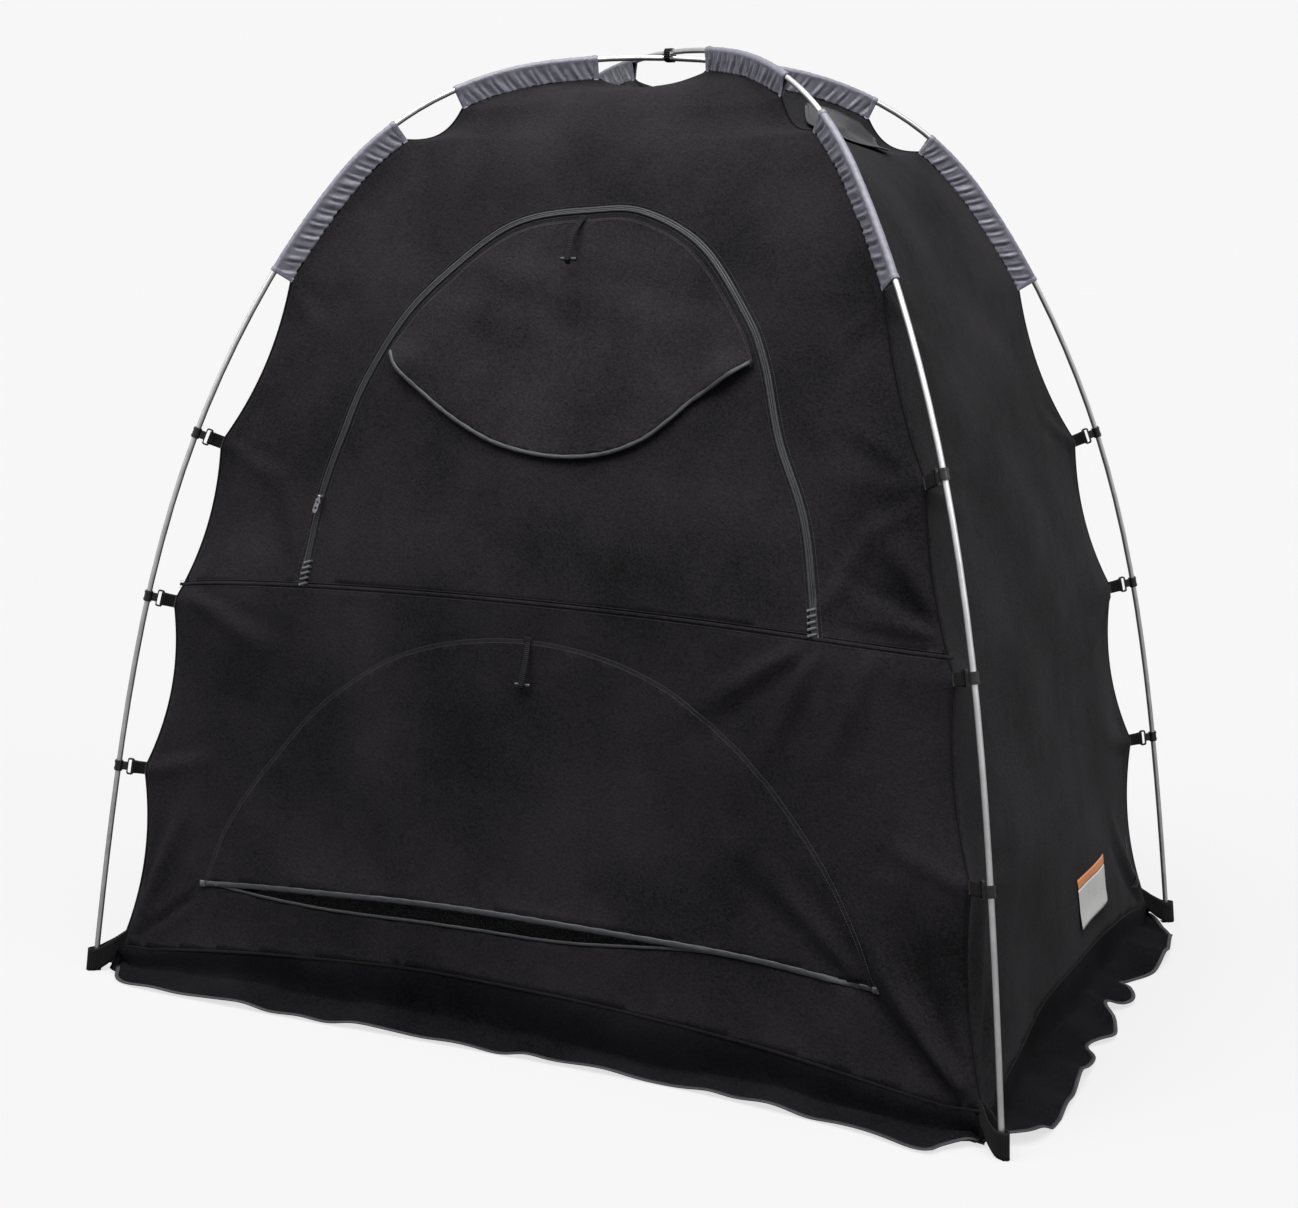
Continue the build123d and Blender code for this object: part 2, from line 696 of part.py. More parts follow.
def make_pull(frame, length, slider_length):
    """The pull: an eye round the bridge bar and a strap with two round holes."""
    origin, u, v, w = frame
    eye = Plane(origin=origin + w * BRIDGE_OUT + v * (slider_length / 2 - BRIDGE_SET), x_dir=v, z_dir=u)
    flat = Plane(origin=eye.origin, x_dir=u, z_dir=w)
    width = 8.0
    neck_width = 4.0
    neck_length = 7.0
    thick = 1.6
    hole = 4.4
    with BuildPart() as pull:
        with BuildSketch(flat.offset(-thick / 2)):
            with Locations((0, -length / 2)):
                RectangleRounded(width, length - 6, width / 2 - 0.1)
            with Locations((0, -neck_length / 2)):
                Rectangle(neck_width, neck_length)
            with Locations((0, -length / 2 + 5.5), (0, -length / 2 - 4)):
                Circle(hole / 2, mode=Mode.SUBTRACT)
        extrude(amount=thick)
        with BuildSketch(eye):
            Circle(EYE_OD / 2)
        extrude(amount=neck_width / 2, both=True)
        with BuildSketch(eye):
            Circle(EYE_ID / 2)
        extrude(amount=width, both=True, mode=Mode.SUBTRACT)
    save(pull.part, "door_zip_pull")


TOGGLE_WIDTH = 10.0
TOGGLE_OFF = 7.0                     # the strap hangs this far in front of the wall
TOGGLE_LENGTH = 55.0
TOGGLE_THICK = 1.4
BAR_LENGTH = 26.0
BAR_OD = 6.0
BAR_ROUND = 1.5


def make_toggle(name, top):
    """A flat strap that hangs in front of the wall, with a cross bar at its end."""
    end = top - TOGGLE_LENGTH
    start_y = front_y(top) - TOGGLE_OFF
    end_y = front_y(end) - TOGGLE_OFF
    with BuildPart() as strap:
        with BuildSketch(Plane.YZ):
            with BuildLine():
                Line((start_y, top), (end_y, end))
            trace(line_width=TOGGLE_THICK)
        extrude(amount=TOGGLE_WIDTH / 2, both=True)
    save(strap.part, name + "_strap")
    with BuildPart() as bar:
        with BuildSketch(Plane.YZ):
            with Locations((end_y - BAR_OD / 2, end - BAR_OD / 2 - 0.8)):
                Circle(BAR_OD / 2)
        extrude(amount=BAR_LENGTH / 2, both=True)
        fillet(bar.edges().filter_by(GeomType.CIRCLE), BAR_ROUND)
    save(bar.part, name + "_bar")


SLIDER_Z = 785.0
PORT_Y = 448.0
PORT_Z = 130.0
PORT_LENGTH = 90.0
PORT_WIDTH = 14.0
PORT_THICK = 0.4
PORT_STOP = 12.0                     # the closed slider stands this far above the port's foot
SEWN_ON = 0.1                        # a sewn piece lies this far off the wall
DOOR_SLIDER = (8.0, 13.0)            # width and length
PORT_SLIDER = (6.0, 9.0)
PULL_LENGTH = 30.0


def make_zip_hardware():
    """The door's slider and pull, and the small cord port by the back right corner."""
    slant = (ARCH_KNEE[0] - ARCH_FOOT[0]) / (ARCH_KNEE[1] - ARCH_FOOT[1])
    middle = ZIP_TAPE + ZIP_GAP / 2
    x = -(ARCH_FOOT[0] + slant * (SLIDER_Z - ARCH_FOOT[1]) - middle)
    frame = wall_frame(x, SLIDER_Z, slant=-slant)
    make_slider("door_zip_slider", frame, *DOOR_SLIDER)
    make_pull(frame, PULL_LENGTH, DOOR_SLIDER[1])
    origin, u, v, w = wall_frame(PORT_Y, PORT_Z, front=False)
    with BuildPart() as tape:
        with BuildSketch(Plane(origin=origin + w * SEWN_ON, x_dir=u, z_dir=w)):
            RectangleRounded(PORT_WIDTH, PORT_LENGTH, PORT_WIDTH / 7)
        extrude(amount=PORT_THICK)
    save(tape.part, "cord_port_zip")
    low = wall_frame(PORT_Y, PORT_Z - PORT_LENGTH / 2 + PORT_STOP, front=False)
    make_slider("cord_port_slider", low, *PORT_SLIDER)


# ------------------------------------------------------------------ label and roof flap
LABEL_SIZE = (165.0, 100.0)
LABEL_PLACE = (120.0, 160.0)
LABEL_THICK = 0.5
FLAP_WIDTH = 150.0
FLAP_DEPTH = 130.0
FLAP_REACH = 245.0


def make_label():
    """A blank sewn label on the right wall."""
    origin, u, v, w = wall_frame(LABEL_PLACE[0], LABEL_PLACE[1], front=False)
    with BuildPart() as label:
        with BuildSketch(Plane(origin=origin + w * SEWN_ON, x_dir=u, z_dir=w)):
            Rectangle(*LABEL_SIZE)
        extrude(amount=LABEL_THICK)
    save(label.part, "sewn_label")


def make_roof_flap(right_gore):
    """A round-ended flap that hangs over the right gore from the back right sleeve seam."""
    lift = 5.0
    skin = right_gore.moved(Location((lift, 0, lift)))
    along = Plane(origin=(0, 0, 0), x_dir=(DX, DY, 0), z_dir=(0, 0, 1))
    straight = FLAP_DEPTH - FLAP_WIDTH / 2
    clear = 24.0
    with BuildPart() as flap:
        add(skin)
        with BuildSketch(along):
            with Locations((FLAP_REACH, -clear - straight / 2)):
                Rectangle(FLAP_WIDTH, straight)
            with Locations((FLAP_REACH, -clear - straight)):
                Circle(FLAP_WIDTH / 2)
            with Locations((FLAP_REACH, -clear - FAR / 2)):
                Rectangle(FAR, FAR, mode=Mode.INTERSECT)
        extrude(amount=2 * FAR, mode=Mode.INTERSECT)
    save(flap.part, "roof_vent_flap")


# ------------------------------------------------------------------ build
def main():
    make_pole("pole_1", LEGS["back_right"])
    make_pole("pole_2", LEGS["front_right"])
    for leg, azimuth in LEGS.items():
        for number, (start, end) in enumerate(SLEEVES, start=1):
            make_sleeve(f"{leg}_sleeve_{number}", azimuth, start, end)
        for number, s in enumerate(CLIPS, start=1):
            make_clip(f"{leg}_clip_{number}", azimuth, s, MOUTH_SIDE[leg])
    tabs = [clip_tab(azimuth, s) for azimuth in LEGS.values() for s in CLIPS]
    save_group(tabs, "clip_tabs")
    save_group([corner_strap(azimuth) for azimuth in LEGS.values()], "corner_straps")
    make_crossing_tie()
    right_gore = make_canopy()
    for facing in ("front", "right", "back", "left"):
        make_skirt(facing)
    make_toggle("upper_toggle", 1214.0)
    make_toggle("lower_toggle", 603.0)
    make_zip_hardware()
    make_label()
    make_roof_flap(right_gore)


main()
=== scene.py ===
# Looks of the pole-frame sleep tent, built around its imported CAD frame. Metres.
# +Z is up, +X runs along the long side, the door faces -Y, the floor is z = 0.
from math import atan2, cos, pi, radians, sin

import bpy
import numpy as np
from mathutils import Matrix, Vector
from mathutils.geometry import delaunay_2d_cdt


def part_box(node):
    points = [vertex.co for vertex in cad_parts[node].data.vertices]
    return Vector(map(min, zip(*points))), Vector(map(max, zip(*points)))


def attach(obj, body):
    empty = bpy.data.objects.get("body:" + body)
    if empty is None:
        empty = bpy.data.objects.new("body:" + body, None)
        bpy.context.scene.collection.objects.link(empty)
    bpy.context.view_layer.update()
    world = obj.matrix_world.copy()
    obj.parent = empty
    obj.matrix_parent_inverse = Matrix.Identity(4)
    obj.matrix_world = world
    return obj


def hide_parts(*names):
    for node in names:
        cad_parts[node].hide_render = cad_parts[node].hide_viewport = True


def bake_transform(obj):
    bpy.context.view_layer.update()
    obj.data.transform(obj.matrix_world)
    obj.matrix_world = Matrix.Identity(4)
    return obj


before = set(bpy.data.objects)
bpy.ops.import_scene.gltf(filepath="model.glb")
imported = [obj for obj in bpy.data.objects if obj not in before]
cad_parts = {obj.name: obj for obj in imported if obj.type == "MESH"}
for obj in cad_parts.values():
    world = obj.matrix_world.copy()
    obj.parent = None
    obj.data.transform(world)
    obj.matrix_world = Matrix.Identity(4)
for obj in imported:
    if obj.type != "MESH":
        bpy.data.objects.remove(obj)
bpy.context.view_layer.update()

# ---- driving dimensions, as in the CAD
POLE_OD = 0.0085
HALF_SECTION = 0.1925
BENDS = [8.5, 20, 22.5, 8.5, 6.5, 6.5, 5, 3, 1.5, 1]
POLE_HALF = HALF_SECTION * len(BENDS)
LEG_AZIMUTH = atan2(537, 758)
DX, DY = cos(LEG_AZIMUTH), sin(LEG_AZIMUTH)
TUBE_END_Z = 0.006
CROSSING_STEP = 0.009
SLEEVE_GAP, CLIP_GAP, FOOT_GAP = 0.030, 0.0415, 0.037
CROSSING_DIP = 0.038  # the roof hangs this much lower under the crossing
SLEEVES = [(0.116, 0.348), (0.454, 0.754)]
CLIPS = [1.034, 1.305, 1.585]
FOOT_SEAM = 1.888
SCALLOPS = [(0.348, 0.454, 0.020), (0.754, 1.034, 0.021), (1.034, 1.305, 0.021),
            (1.305, 1.585, 0.023), (1.585, 1.888, 0.021)]
BAR_IN = 0.0229
TAB_WIDTH = 0.020
STRAP_HEIGHT = 0.038
KNIT = 0.001
LEGS = {"front_right": -LEG_AZIMUTH, "back_right": LEG_AZIMUTH,
        "back_left": pi - LEG_AZIMUTH, "front_left": pi + LEG_AZIMUTH}
LIFT = {"front_right": CROSSING_STEP / 2, "back_left": CROSSING_STEP / 2,
        "back_right": -CROSSING_STEP / 2, "front_left": -CROSSING_STEP / 2}


# ---- camera
def make_camera():
    """The photograph's viewing angle."""
    yaw, pitch, roll = radians(-25.2527), radians(-10.0391), radians(0.8862)
    forward = np.array([sin(yaw) * cos(pitch), cos(yaw) * cos(pitch), sin(pitch)])
    level = np.array([cos(yaw), -sin(yaw), 0.0])
    above = np.cross(level, forward)
    right = level * cos(roll) + above * sin(roll)
    up = above * cos(roll) - level * sin(roll)
    data = bpy.data.cameras.new("camera")
    data.lens = 56.44
    data.sensor_width = 36.0
    data.clip_end = 200.0
    camera = bpy.data.objects.new("camera", data)
    bpy.context.scene.collection.objects.link(camera)
    place = Matrix.Identity(4)
    for row in range(3):
        place[row][0], place[row][1], place[row][2] = right[row], up[row], -forward[row]
    place[0][3], place[1][3], place[2][3] = 1.39936, -3.01327, 1.17884
    camera.matrix_world = place
    bpy.context.scene.camera = camera


make_camera()
bpy.context.scene.view_settings.view_transform = "Standard"


# ---- material helpers
class Shader:
    """A Principled material with short calls for the nodes it needs."""

    def __init__(self, name, colour, rough, **sockets):
        self.material = bpy.data.materials.new(name)
        self.material.use_nodes = True
        self.nodes = self.material.node_tree.nodes
        self.links = self.material.node_tree.links
        self.shader = self.nodes["Principled BSDF"]
        self.shader.inputs["Base Color"].default_value = (*colour, 1)
        self.shader.inputs["Roughness"].default_value = rough
        for socket, value in sockets.items():
            self.shader.inputs[socket.replace("_", " ")].default_value = value
        self.colour = colour

    def node(self, kind, inputs=None, **settings):
        made = self.nodes.new(kind)
        for key, value in settings.items():
            setattr(made, key, value)
        for key, value in (inputs or {}).items():
            if isinstance(value, bpy.types.NodeSocket):
                self.links.new(value, made.inputs[key])
            else:
                made.inputs[key].default_value = value
        return made

    def place(self, source="Object", scale=(1, 1, 1)):
        """Coordinates in metres, stretched by scale."""
        coordinates = self.node("ShaderNodeTexCoord")
        mapping = self.node("ShaderNodeMapping", {"Vector": coordinates.outputs[source], "Scale": scale})
        return mapping.outputs["Vector"]

    def noise(self, vector, scale, detail=3.0, rough=0.55):
        inputs = {"Vector": vector, "Scale": scale, "Detail": detail, "Roughness": rough}
        return self.node("ShaderNodeTexNoise", inputs).outputs["Fac"]

    def wave(self, vector, scale, distortion=0.0, direction="X"):
        inputs = {"Vector": vector, "Scale": scale, "Distortion": distortion, "Detail": 1.0}
        made = self.node("ShaderNodeTexWave", inputs, wave_type="BANDS", bands_direction=direction)
        return made.outputs["Fac"]

    def span(self, value, low, high, start=0.0, end=1.0):
        """A value from start to end turned into low to high."""
        inputs = {"Value": value, "From Min": start, "From Max": end, "To Min": low, "To Max": high}
        return self.node("ShaderNodeMapRange", inputs).outputs["Result"]

    def blend(self, factor, colour_a, colour_b):
        made = self.node("ShaderNodeMix", data_type="RGBA")
        self.links.new(factor, made.inputs["Factor"])
        made.inputs[6].default_value = (*colour_a, 1)
        made.inputs[7].default_value = (*colour_b, 1)
        return made.outputs[2]

    def vary_colour(self, factor, darker, lighter):
        """The base colour, between two shares of itself."""
        low = tuple(c * darker for c in self.colour)
        high = tuple(c * lighter for c in self.colour)
        self.links.new(self.blend(factor, low, high), self.shader.inputs["Base Color"])

    def vary_rough(self, factor, low, high):
        self.links.new(self.span(factor, low, high), self.shader.inputs["Roughness"])

    def bumps(self, *layers):
        """Bump layers, each (height, distance in metres, strength)."""
        normal = None
        for height, distance, strength in layers:
            inputs = {"Height": height, "Distance": distance, "Strength": strength}
            if normal is not None:
                inputs["Normal"] = normal
            normal = self.node("ShaderNodeBump", inputs).outputs["Normal"]
        self.links.new(normal, self.shader.inputs["Normal"])


def knit(name, colour, shine=0.08):
    """Matt stretch knit: fine ribs, a brushed face and slow changes of tone."""
    made = Shader(name, colour, 0.8, Sheen_Weight=shine / 4, Sheen_Roughness=0.5,
                  Sheen_Tint=(0.8, 0.77, 0.82, 1), Specular_IOR_Level=shine)
    where = made.place()
    ribs = made.wave(made.place("UV"), 330.0, 0.6)
    fuzz = made.noise(where, 900.0, 2.0)
    ripple = made.noise(made.place(scale=(1, 1, 0.6)), 9.0, 3.0, 0.5)
    grain = made.noise(where, 260.0, 3.0, 0.7)
    tone = made.node("ShaderNodeMath", {0: made.noise(where, 5.0, 4.0), 1: grain}, operation="ADD")
    made.vary_colour(made.span(tone.outputs[0], 0.0, 1.0, 0.75, 1.25), 0.3, 1.7)
    made.vary_rough(fuzz, 0.70, 0.88)
    made.bumps((ripple, 0.010, 0.4), (grain, 0.0020, 0.6), (fuzz, 0.0005, 0.4), (ribs, 0.0003, 0.4))
    return made.material


def satin(name, colour, rough):
    """Woven satin with a directional shine and fine creases, their crests painted lighter and their hollows
    darker.
    """
    made = Shader(name, colour, rough, Sheen_Weight=0.06, Sheen_Roughness=0.35, Anisotropic=0.4,
                  Specular_IOR_Level=0.6)
    where = made.place()
    crease = made.noise(where, 90.0, 4.0, 0.6)
    weave = made.wave(made.place("UV"), 420.0)
    # painted highlight and shade: the crease noise that raises the bumps also lightens the crests and
    # darkens the hollows
    made.vary_colour(crease, 0.6, 1.4)
    made.vary_rough(made.noise(where, 40.0), rough - 0.08, rough + 0.14)
    made.bumps((crease, 0.0025, 0.6), (weave, 0.00025, 0.35))
    return made.material


def webbing(name, colour):
    """Ribbed woven tape: ribs across its length, a twill on its face."""
    made = Shader(name, colour, 0.75, Sheen_Weight=0.02, Sheen_Roughness=0.4, Specular_IOR_Level=0.12)
    uv = made.place("UV")
    ribs = made.wave(uv, 105.0, 0.4, "Y")
    twill = made.wave(uv, 260.0, 0.5, "DIAGONAL")
    made.vary_colour(ribs, 0.35, 1.9)
    made.vary_rough(made.noise(made.place(), 300.0), 0.6, 0.82)
    made.bumps((ribs, 0.0009, 0.8), (twill, 0.0003, 0.5))
    return made.material


def aluminium(name):
    """Drawn, anodised tube: lengthwise brushing, faint handling marks."""
    made = Shader(name, (0.72, 0.72, 0.73), 0.30, Metallic=1.0)
    where = made.place(scale=(1, 1, 0.05))
    drawn = made.noise(where, 1400.0, 2.0)
    marks = made.noise(made.place(), 25.0, 6.0, 0.7)
    made.vary_colour(marks, 0.75, 1.25)
    made.vary_rough(marks, 0.26, 0.44)
    made.bumps((drawn, 0.0001, 0.3))
    return made.material


def plastic(name, colour, rough, grain=500.0):
    """Moulded plastic with a faint grain and random marks."""
    made = Shader(name, colour, rough, Coat_Weight=0.3, Coat_Roughness=0.18)
    where = made.place()
    marks = made.noise(where, 60.0, 4.0)
    made.vary_colour(marks, 0.8, 1.4)
    made.vary_rough(marks, rough - 0.06, rough + 0.12)
    made.bumps((made.noise(where, grain), 0.0002, 0.3))
    return made.material


def gun_metal(name):
    """Dark plated zip metal, worn lighter on its edges."""
    made = Shader(name, (0.09, 0.09, 0.1), 0.32, Metallic=0.9)
    where = made.place()
    edge = made.node("ShaderNodeNewGeometry").outputs["Pointiness"]
    made.vary_colour(made.span(edge, 0.0, 1.0, 0.5, 0.6), 0.8, 3.0)
    made.vary_rough(made.noise(where, 200.0), 0.25, 0.45)
    made.bumps((made.noise(where, 700.0), 0.0001, 0.3))
    return made.material


def cord_cover(name):
    """Braided elastic cord."""
    made = Shader(name, (0.5, 0.5, 0.5), 0.7)
    braid = made.wave(made.place(), 500.0, 0.5, "DIAGONAL")
    made.vary_colour(braid, 0.6, 1.1)
    made.bumps((braid, 0.0004, 0.6))
    return made.material


def net(name):
    """Black vent mesh with small open cells."""
    made = Shader(name, (0.004, 0.004, 0.005), 0.9, Specular_IOR_Level=0.05)
    inputs = {"Vector": made.place(), "Scale": 700.0}
    cells = made.node("ShaderNodeTexVoronoi", inputs, feature="DISTANCE_TO_EDGE").outputs["Distance"]
    made.links.new(made.span(cells, 1.0, 0.8, 0.12, 0.2), made.shader.inputs["Alpha"])
    made.bumps((cells, 0.0001, 0.3))
    return made.material


def label_cloth(name, colour):
    """Printed satin label tape."""
    made = Shader(name, colour, 0.6, Sheen_Weight=0.1)
    weave = made.wave(made.place("UV"), 300.0, 0.3)
    made.vary_colour(made.noise(made.place(), 30.0, 4.0), 0.9, 1.05)
    made.bumps((weave, 0.0002, 0.4), (made.noise(made.place(), 60.0), 0.0015, 0.4))
    return made.material


M = {
    "knit": knit("black_knit", (0.0120, 0.0108, 0.0124)),
    # painted shade: the same black knit, darker for the lower front panel and lower flap
    "shaded_knit_low": knit("black_knit_shaded_low", (0.0100, 0.0090, 0.0104)),
    # painted light: the same black knit, lighter for the hood
    "lit_knit_hood": knit("black_knit_lit_hood", (0.0150, 0.0135, 0.0155)),
    # painted shade: the same black knit, much darker and with less sheen for the skirts
    "shaded_knit_skirt": knit("black_knit_shaded_skirt", (0.0042, 0.0039, 0.0048), 0.03),
    # painted shade: the same black knit, a little darker for the side and back walls
    "shaded_knit_side": knit("black_knit_shaded_side", (0.0110, 0.0102, 0.0113)),
    "satin": satin("grey_satin", (0.19, 0.187, 0.232), 0.34),
    # painted shade: the sleeves' grey satin, much darker for the roof flap
    "shaded_flap_satin": satin("satin_shaded_for_roof_flap", (0.0085, 0.0085, 0.0105), 0.6),
    "binding": satin("bias_binding", (0.015, 0.016, 0.0195), 0.5),
    # painted shade: the same black knit, darker for the corner edges and hems
    "seam_knit_shaded": knit("black_knit_shaded_seam", (0.0050, 0.0048, 0.0055)),
    "thread": plastic("black_thread", (0.014, 0.014, 0.015), 0.6),
    "webbing": webbing("black_webbing", (0.0065, 0.0065, 0.0072)),
    "aluminium": aluminium("pole_aluminium"),
    "clip": plastic("gloss_clip", (0.008, 0.008, 0.009), 0.24),
    "tip": plastic("tip_rubber", (0.02, 0.02, 0.02), 0.6),
    "metal": gun_metal("zip_metal"),
    "coil": plastic("zip_coil", (0.02, 0.021, 0.024), 0.35),
    "cord": cord_cover("elastic_cord"),
    "net": net("vent_net"),
    "tape": satin("dark_tape", (0.0085, 0.0088, 0.0105), 0.6),
    "tack": satin("zip_tack", (0.055, 0.057, 0.065), 0.45),
    "label": label_cloth("label_white", (0.50, 0.50, 0.49)),
    "band": label_cloth("label_orange", (0.56, 0.19, 0.05)),
}


# ---- mesh helpers
def build(name, points, faces, material, uv=None):
    """A smooth-shaded mesh piece; uv holds one pair of metres for each point."""
    mesh = bpy.data.meshes.new(name)
    mesh.from_pydata([tuple(p) for p in points], [], faces)
    mesh.materials.append(M[material])
    mesh.polygons.foreach_set("use_smooth", [True] * len(mesh.polygons))
    if uv is not None:
        corner = np.zeros(len(mesh.loops), np.int32)
        mesh.loops.foreach_get("vertex_index", corner)
        layer = mesh.uv_layers.new(name="UVMap")
        layer.data.foreach_set("uv", np.asarray(uv, float)[corner].ravel())
    mesh.update()
    made = bpy.data.objects.new(name, mesh)
    bpy.context.scene.collection.objects.link(made)
    return made


def thicken(piece, thickness=KNIT, offset=-1.0):
    modifier = piece.modifiers.new("thickness", "SOLIDIFY")
    modifier.thickness = thickness
    modifier.offset = offset
    modifier.use_even_offset = False
    return piece


def quads(rows, columns, around=False):
    """The faces of a grid of points, closed into a tube when around is true."""
    faces = []
    for i in range(0, (rows - 1) * columns, columns):
        for j in range(columns if around else columns - 1):
            k = (j + 1) % columns
            faces.append((i + j, i + k, i + columns + k, i + columns + j))
    return faces


def lattice(name, points, material, uv):
    """A quad surface from an array of points (rows, columns, 3)."""
    return build(name, points.reshape(-1, 3), quads(*points.shape[:2]), material, uv.reshape(-1, 2))


UP = np.array([0, 0, 1.0])


def unit(v):
    return v / np.maximum(np.linalg.norm(v, axis=-1, keepdims=True), 1e-12)


def run_along(line):
    """Distance from a line's start to each of its points."""
    return np.concatenate([[0], np.cumsum(np.linalg.norm(np.diff(line, axis=0), axis=1))])


def pairs(x, y):
    """A grid of (x, y) pairs, with x along its rows and y down them."""
    return np.stack(np.broadcast_arrays(x[None, :], y[:, None]), -1)


def sweep(name, centres, normals, kind, material, scale=None):
    """A solid strip: one of the SECTIONS run along a line."""
    centres = np.asarray(centres, float)
    tangents = unit(np.gradient(centres, axis=0))
    normals = unit(normals - (normals * tangents).sum(1)[:, None] * tangents)
    sideways = np.cross(tangents, normals)
    profile = section(kind)
    size = np.ones(len(centres)) if scale is None else scale
    rings = (centres[:, None] + profile[None, :, :1] * sideways[:, None] * size[:, None, None]
             + profile[None, :, 1:] * normals[:, None] * size[:, None, None])
    count, last = len(profile), (len(centres) - 1) * len(profile)
    faces = quads(len(centres), count, around=True)
    faces.append(tuple(range(count)))
    faces.append(tuple(last + k for k in reversed(range(count))))
    uv = pairs(run_along(profile), run_along(centres)).reshape(-1, 2)
    return build(name, rings.reshape(-1, 3), [f[::-1] for f in faces], material, uv)


ZIP_WIDTH = 0.0036  # each rolled tape of the door zip
SECTIONS = {  # width, height, how high it starts, and the number of sides
    "vent rim": (0.0048, 0.0030, -0.0008, 12), "corner edge": (0.0022, 0.0052, -0.0034, 12),
    "hem": (0.0050, 0.0022, -0.0012, 12), "cross seam": (0.0050, 0.0022, -0.0006, 12),
    "door zip tape": (ZIP_WIDTH, 0.0028, -0.0006, 12), "door zip coil": (0.0022, 0.0018, 0.0002, 8),
    "zip bartack": (0.0040, 0.0022, 0.0, 12), "flap bartack": (0.0105, 0.0036, 0.0, 12),
    "crescent edge": (0.0062, 0.0036, -0.0022, 12), "lower flap edge": (0.0090, 0.0034, -0.0026, 12),
    "skirt rim": (0.0065, 0.0030, -0.0018, 12), "sleeve hem": (0.0075, 0.0012, -0.0006, 12),
    "tab tack": (0.0022, 0.0008, 0.0, 8), "strap base": (0.0125, 0.0012, 0.0, 8),
    "toggle strap": (0.0085, 0.0016, -0.0008, 12), "toggle anchor": (0.0100, 0.0022, 0.0, 12),
    "port tape": (0.0140, 0.0016, -0.0006, 12), "port coil": (0.0022, 0.0012, 0.0008, 12),
    "roof flap edge": (0.0070, 0.0030, -0.0016, 12),
}
SQUARENESS = 2.6  # 2 is an ellipse, more is closer to a box


def section(kind):
    """The soft-cornered outline of a strip."""
    width, height, low, sides = SECTIONS[kind]
    angle = np.linspace(0, 2 * pi, sides, endpoint=False)
    c, s = np.cos(angle), np.sin(angle)
    x = np.sign(c) * np.abs(c) ** (2 / SQUARENESS) * width / 2
    y = np.sign(s) * np.abs(s) ** (2 / SQUARENESS) * height / 2
    return np.stack([x, y + low + height / 2], 1)


def smooth_line(points, step=0.006):
    """A smooth line through a few points, with even steps."""
    p = np.asarray(points, float)
    p = np.vstack([2 * p[0] - p[1], p, 2 * p[-1] - p[-2]])
    line = []
    for k in range(1, len(p) - 2):
        a, b, c, d = p[k - 1:k + 3]
        for t in np.linspace(0, 1, 24, endpoint=False):
            line.append(0.5 * (2 * b + (c - a) * t + (2 * a - 5 * b + 4 * c - d) * t**2
                               + (3 * b - a - 3 * c + d) * t**3))
    line.append(p[-2])
    return even(np.array(line), step)


def even(line, step):
    """The same line with points an even step apart."""
    along = run_along(line)
    at = np.linspace(0, along[-1], max(2, int(round(along[-1] / step)) + 1))
    return np.stack([np.interp(at, along, line[:, k]) for k in range(line.shape[1])], 1)


def inset(line, amount):
    """A flat line moved sideways, to the right of its run."""
    tangents = unit(np.gradient(line, axis=0))
    return line + np.stack([tangents[:, 1], -tangents[:, 0]], 1) * amount


def smoothstep(x):
    x = np.clip(x, 0, 1)
    return x * x * (3 - 2 * x)


# ---- pole line and corner seams
def pole_line(step=0.001):
    """Arc length, reach, height and slope angle along the middle pole line."""
    s = np.arange(0, POLE_HALF + step / 2, step)
    turn = np.array([radians(b) for b in BENDS])
    row = np.minimum((s / HALF_SECTION).astype(int), len(BENDS) - 1)
    start = np.concatenate([[0], np.cumsum(turn)])[row]
    angle = start + (s - row * HALF_SECTION) * turn[row] / HALF_SECTION
    reach = np.concatenate([[0], np.cumsum(step * np.cos((angle[1:] + angle[:-1]) / 2))])
    drop = np.concatenate([[0], np.cumsum(step * np.sin((angle[1:] + angle[:-1]) / 2))])
    return s, reach, TUBE_END_Z + drop[-1] + CROSSING_STEP / 2 - drop, angle


S, REACH, HEIGHT, ANGLE = pole_line()
STOPS = [0.0, SLEEVES[0][0], SLEEVES[1][1], CLIPS[0], CLIPS[2], FOOT_SEAM, POLE_HALF]
GAPS = [SLEEVE_GAP, SLEEVE_GAP, SLEEVE_GAP, CLIP_GAP, CLIP_GAP, FOOT_GAP, FOOT_GAP]
GAP = np.interp(S, STOPS, GAPS) + CROSSING_DIP * np.clip(1 - (S / SLEEVES[0][0]) ** 2, 0, 1)
SCALLOP = sum(np.where((S > a) & (S < b), 4 * depth * (S - a) * (b - S) / (b - a) ** 2, 0.0)
              for a, b, depth in SCALLOPS)
WALL_REACH, WALL_Z = REACH - GAP * np.sin(ANGLE), HEIGHT - GAP * np.cos(ANGLE)
EDGE_REACH = REACH - (GAP + SCALLOP) * np.sin(ANGLE)
EDGE_Z = HEIGHT - (GAP + SCALLOP) * np.cos(ANGLE)


def t_at(z):
    """Arc length down the wall at height z."""
    return np.interp(z, WALL_Z[::-1], S[::-1])


def lift_at(leg, s):
    """How far one leg's seam is above or below the middle line; the poles pass over each other."""
    return LIFT[leg] * np.clip(s / 0.1, 0, 1)


def leg_way(leg):
    """The level direction from the middle of the tent towards a leg."""
    return np.array([cos(LEGS[leg]), sin(LEGS[leg]), 0.0])


def pole_frame(leg, s):
    """Points of one leg's pole line with outward, sideways and upward directions."""
    s = np.atleast_1d(np.asarray(s, float))
    flat = leg_way(leg)
    angle = np.interp(s, S, ANGLE)[:, None]
    outward = flat * np.sin(angle) + UP * np.cos(angle)
    upward = flat * -np.cos(angle) + UP * np.sin(angle)
    point = flat * np.interp(s, S, REACH)[:, None]
    point[:, 2] = np.interp(s, S, HEIGHT) + LIFT[leg]
    return point, outward, np.cross(upward, outward), upward


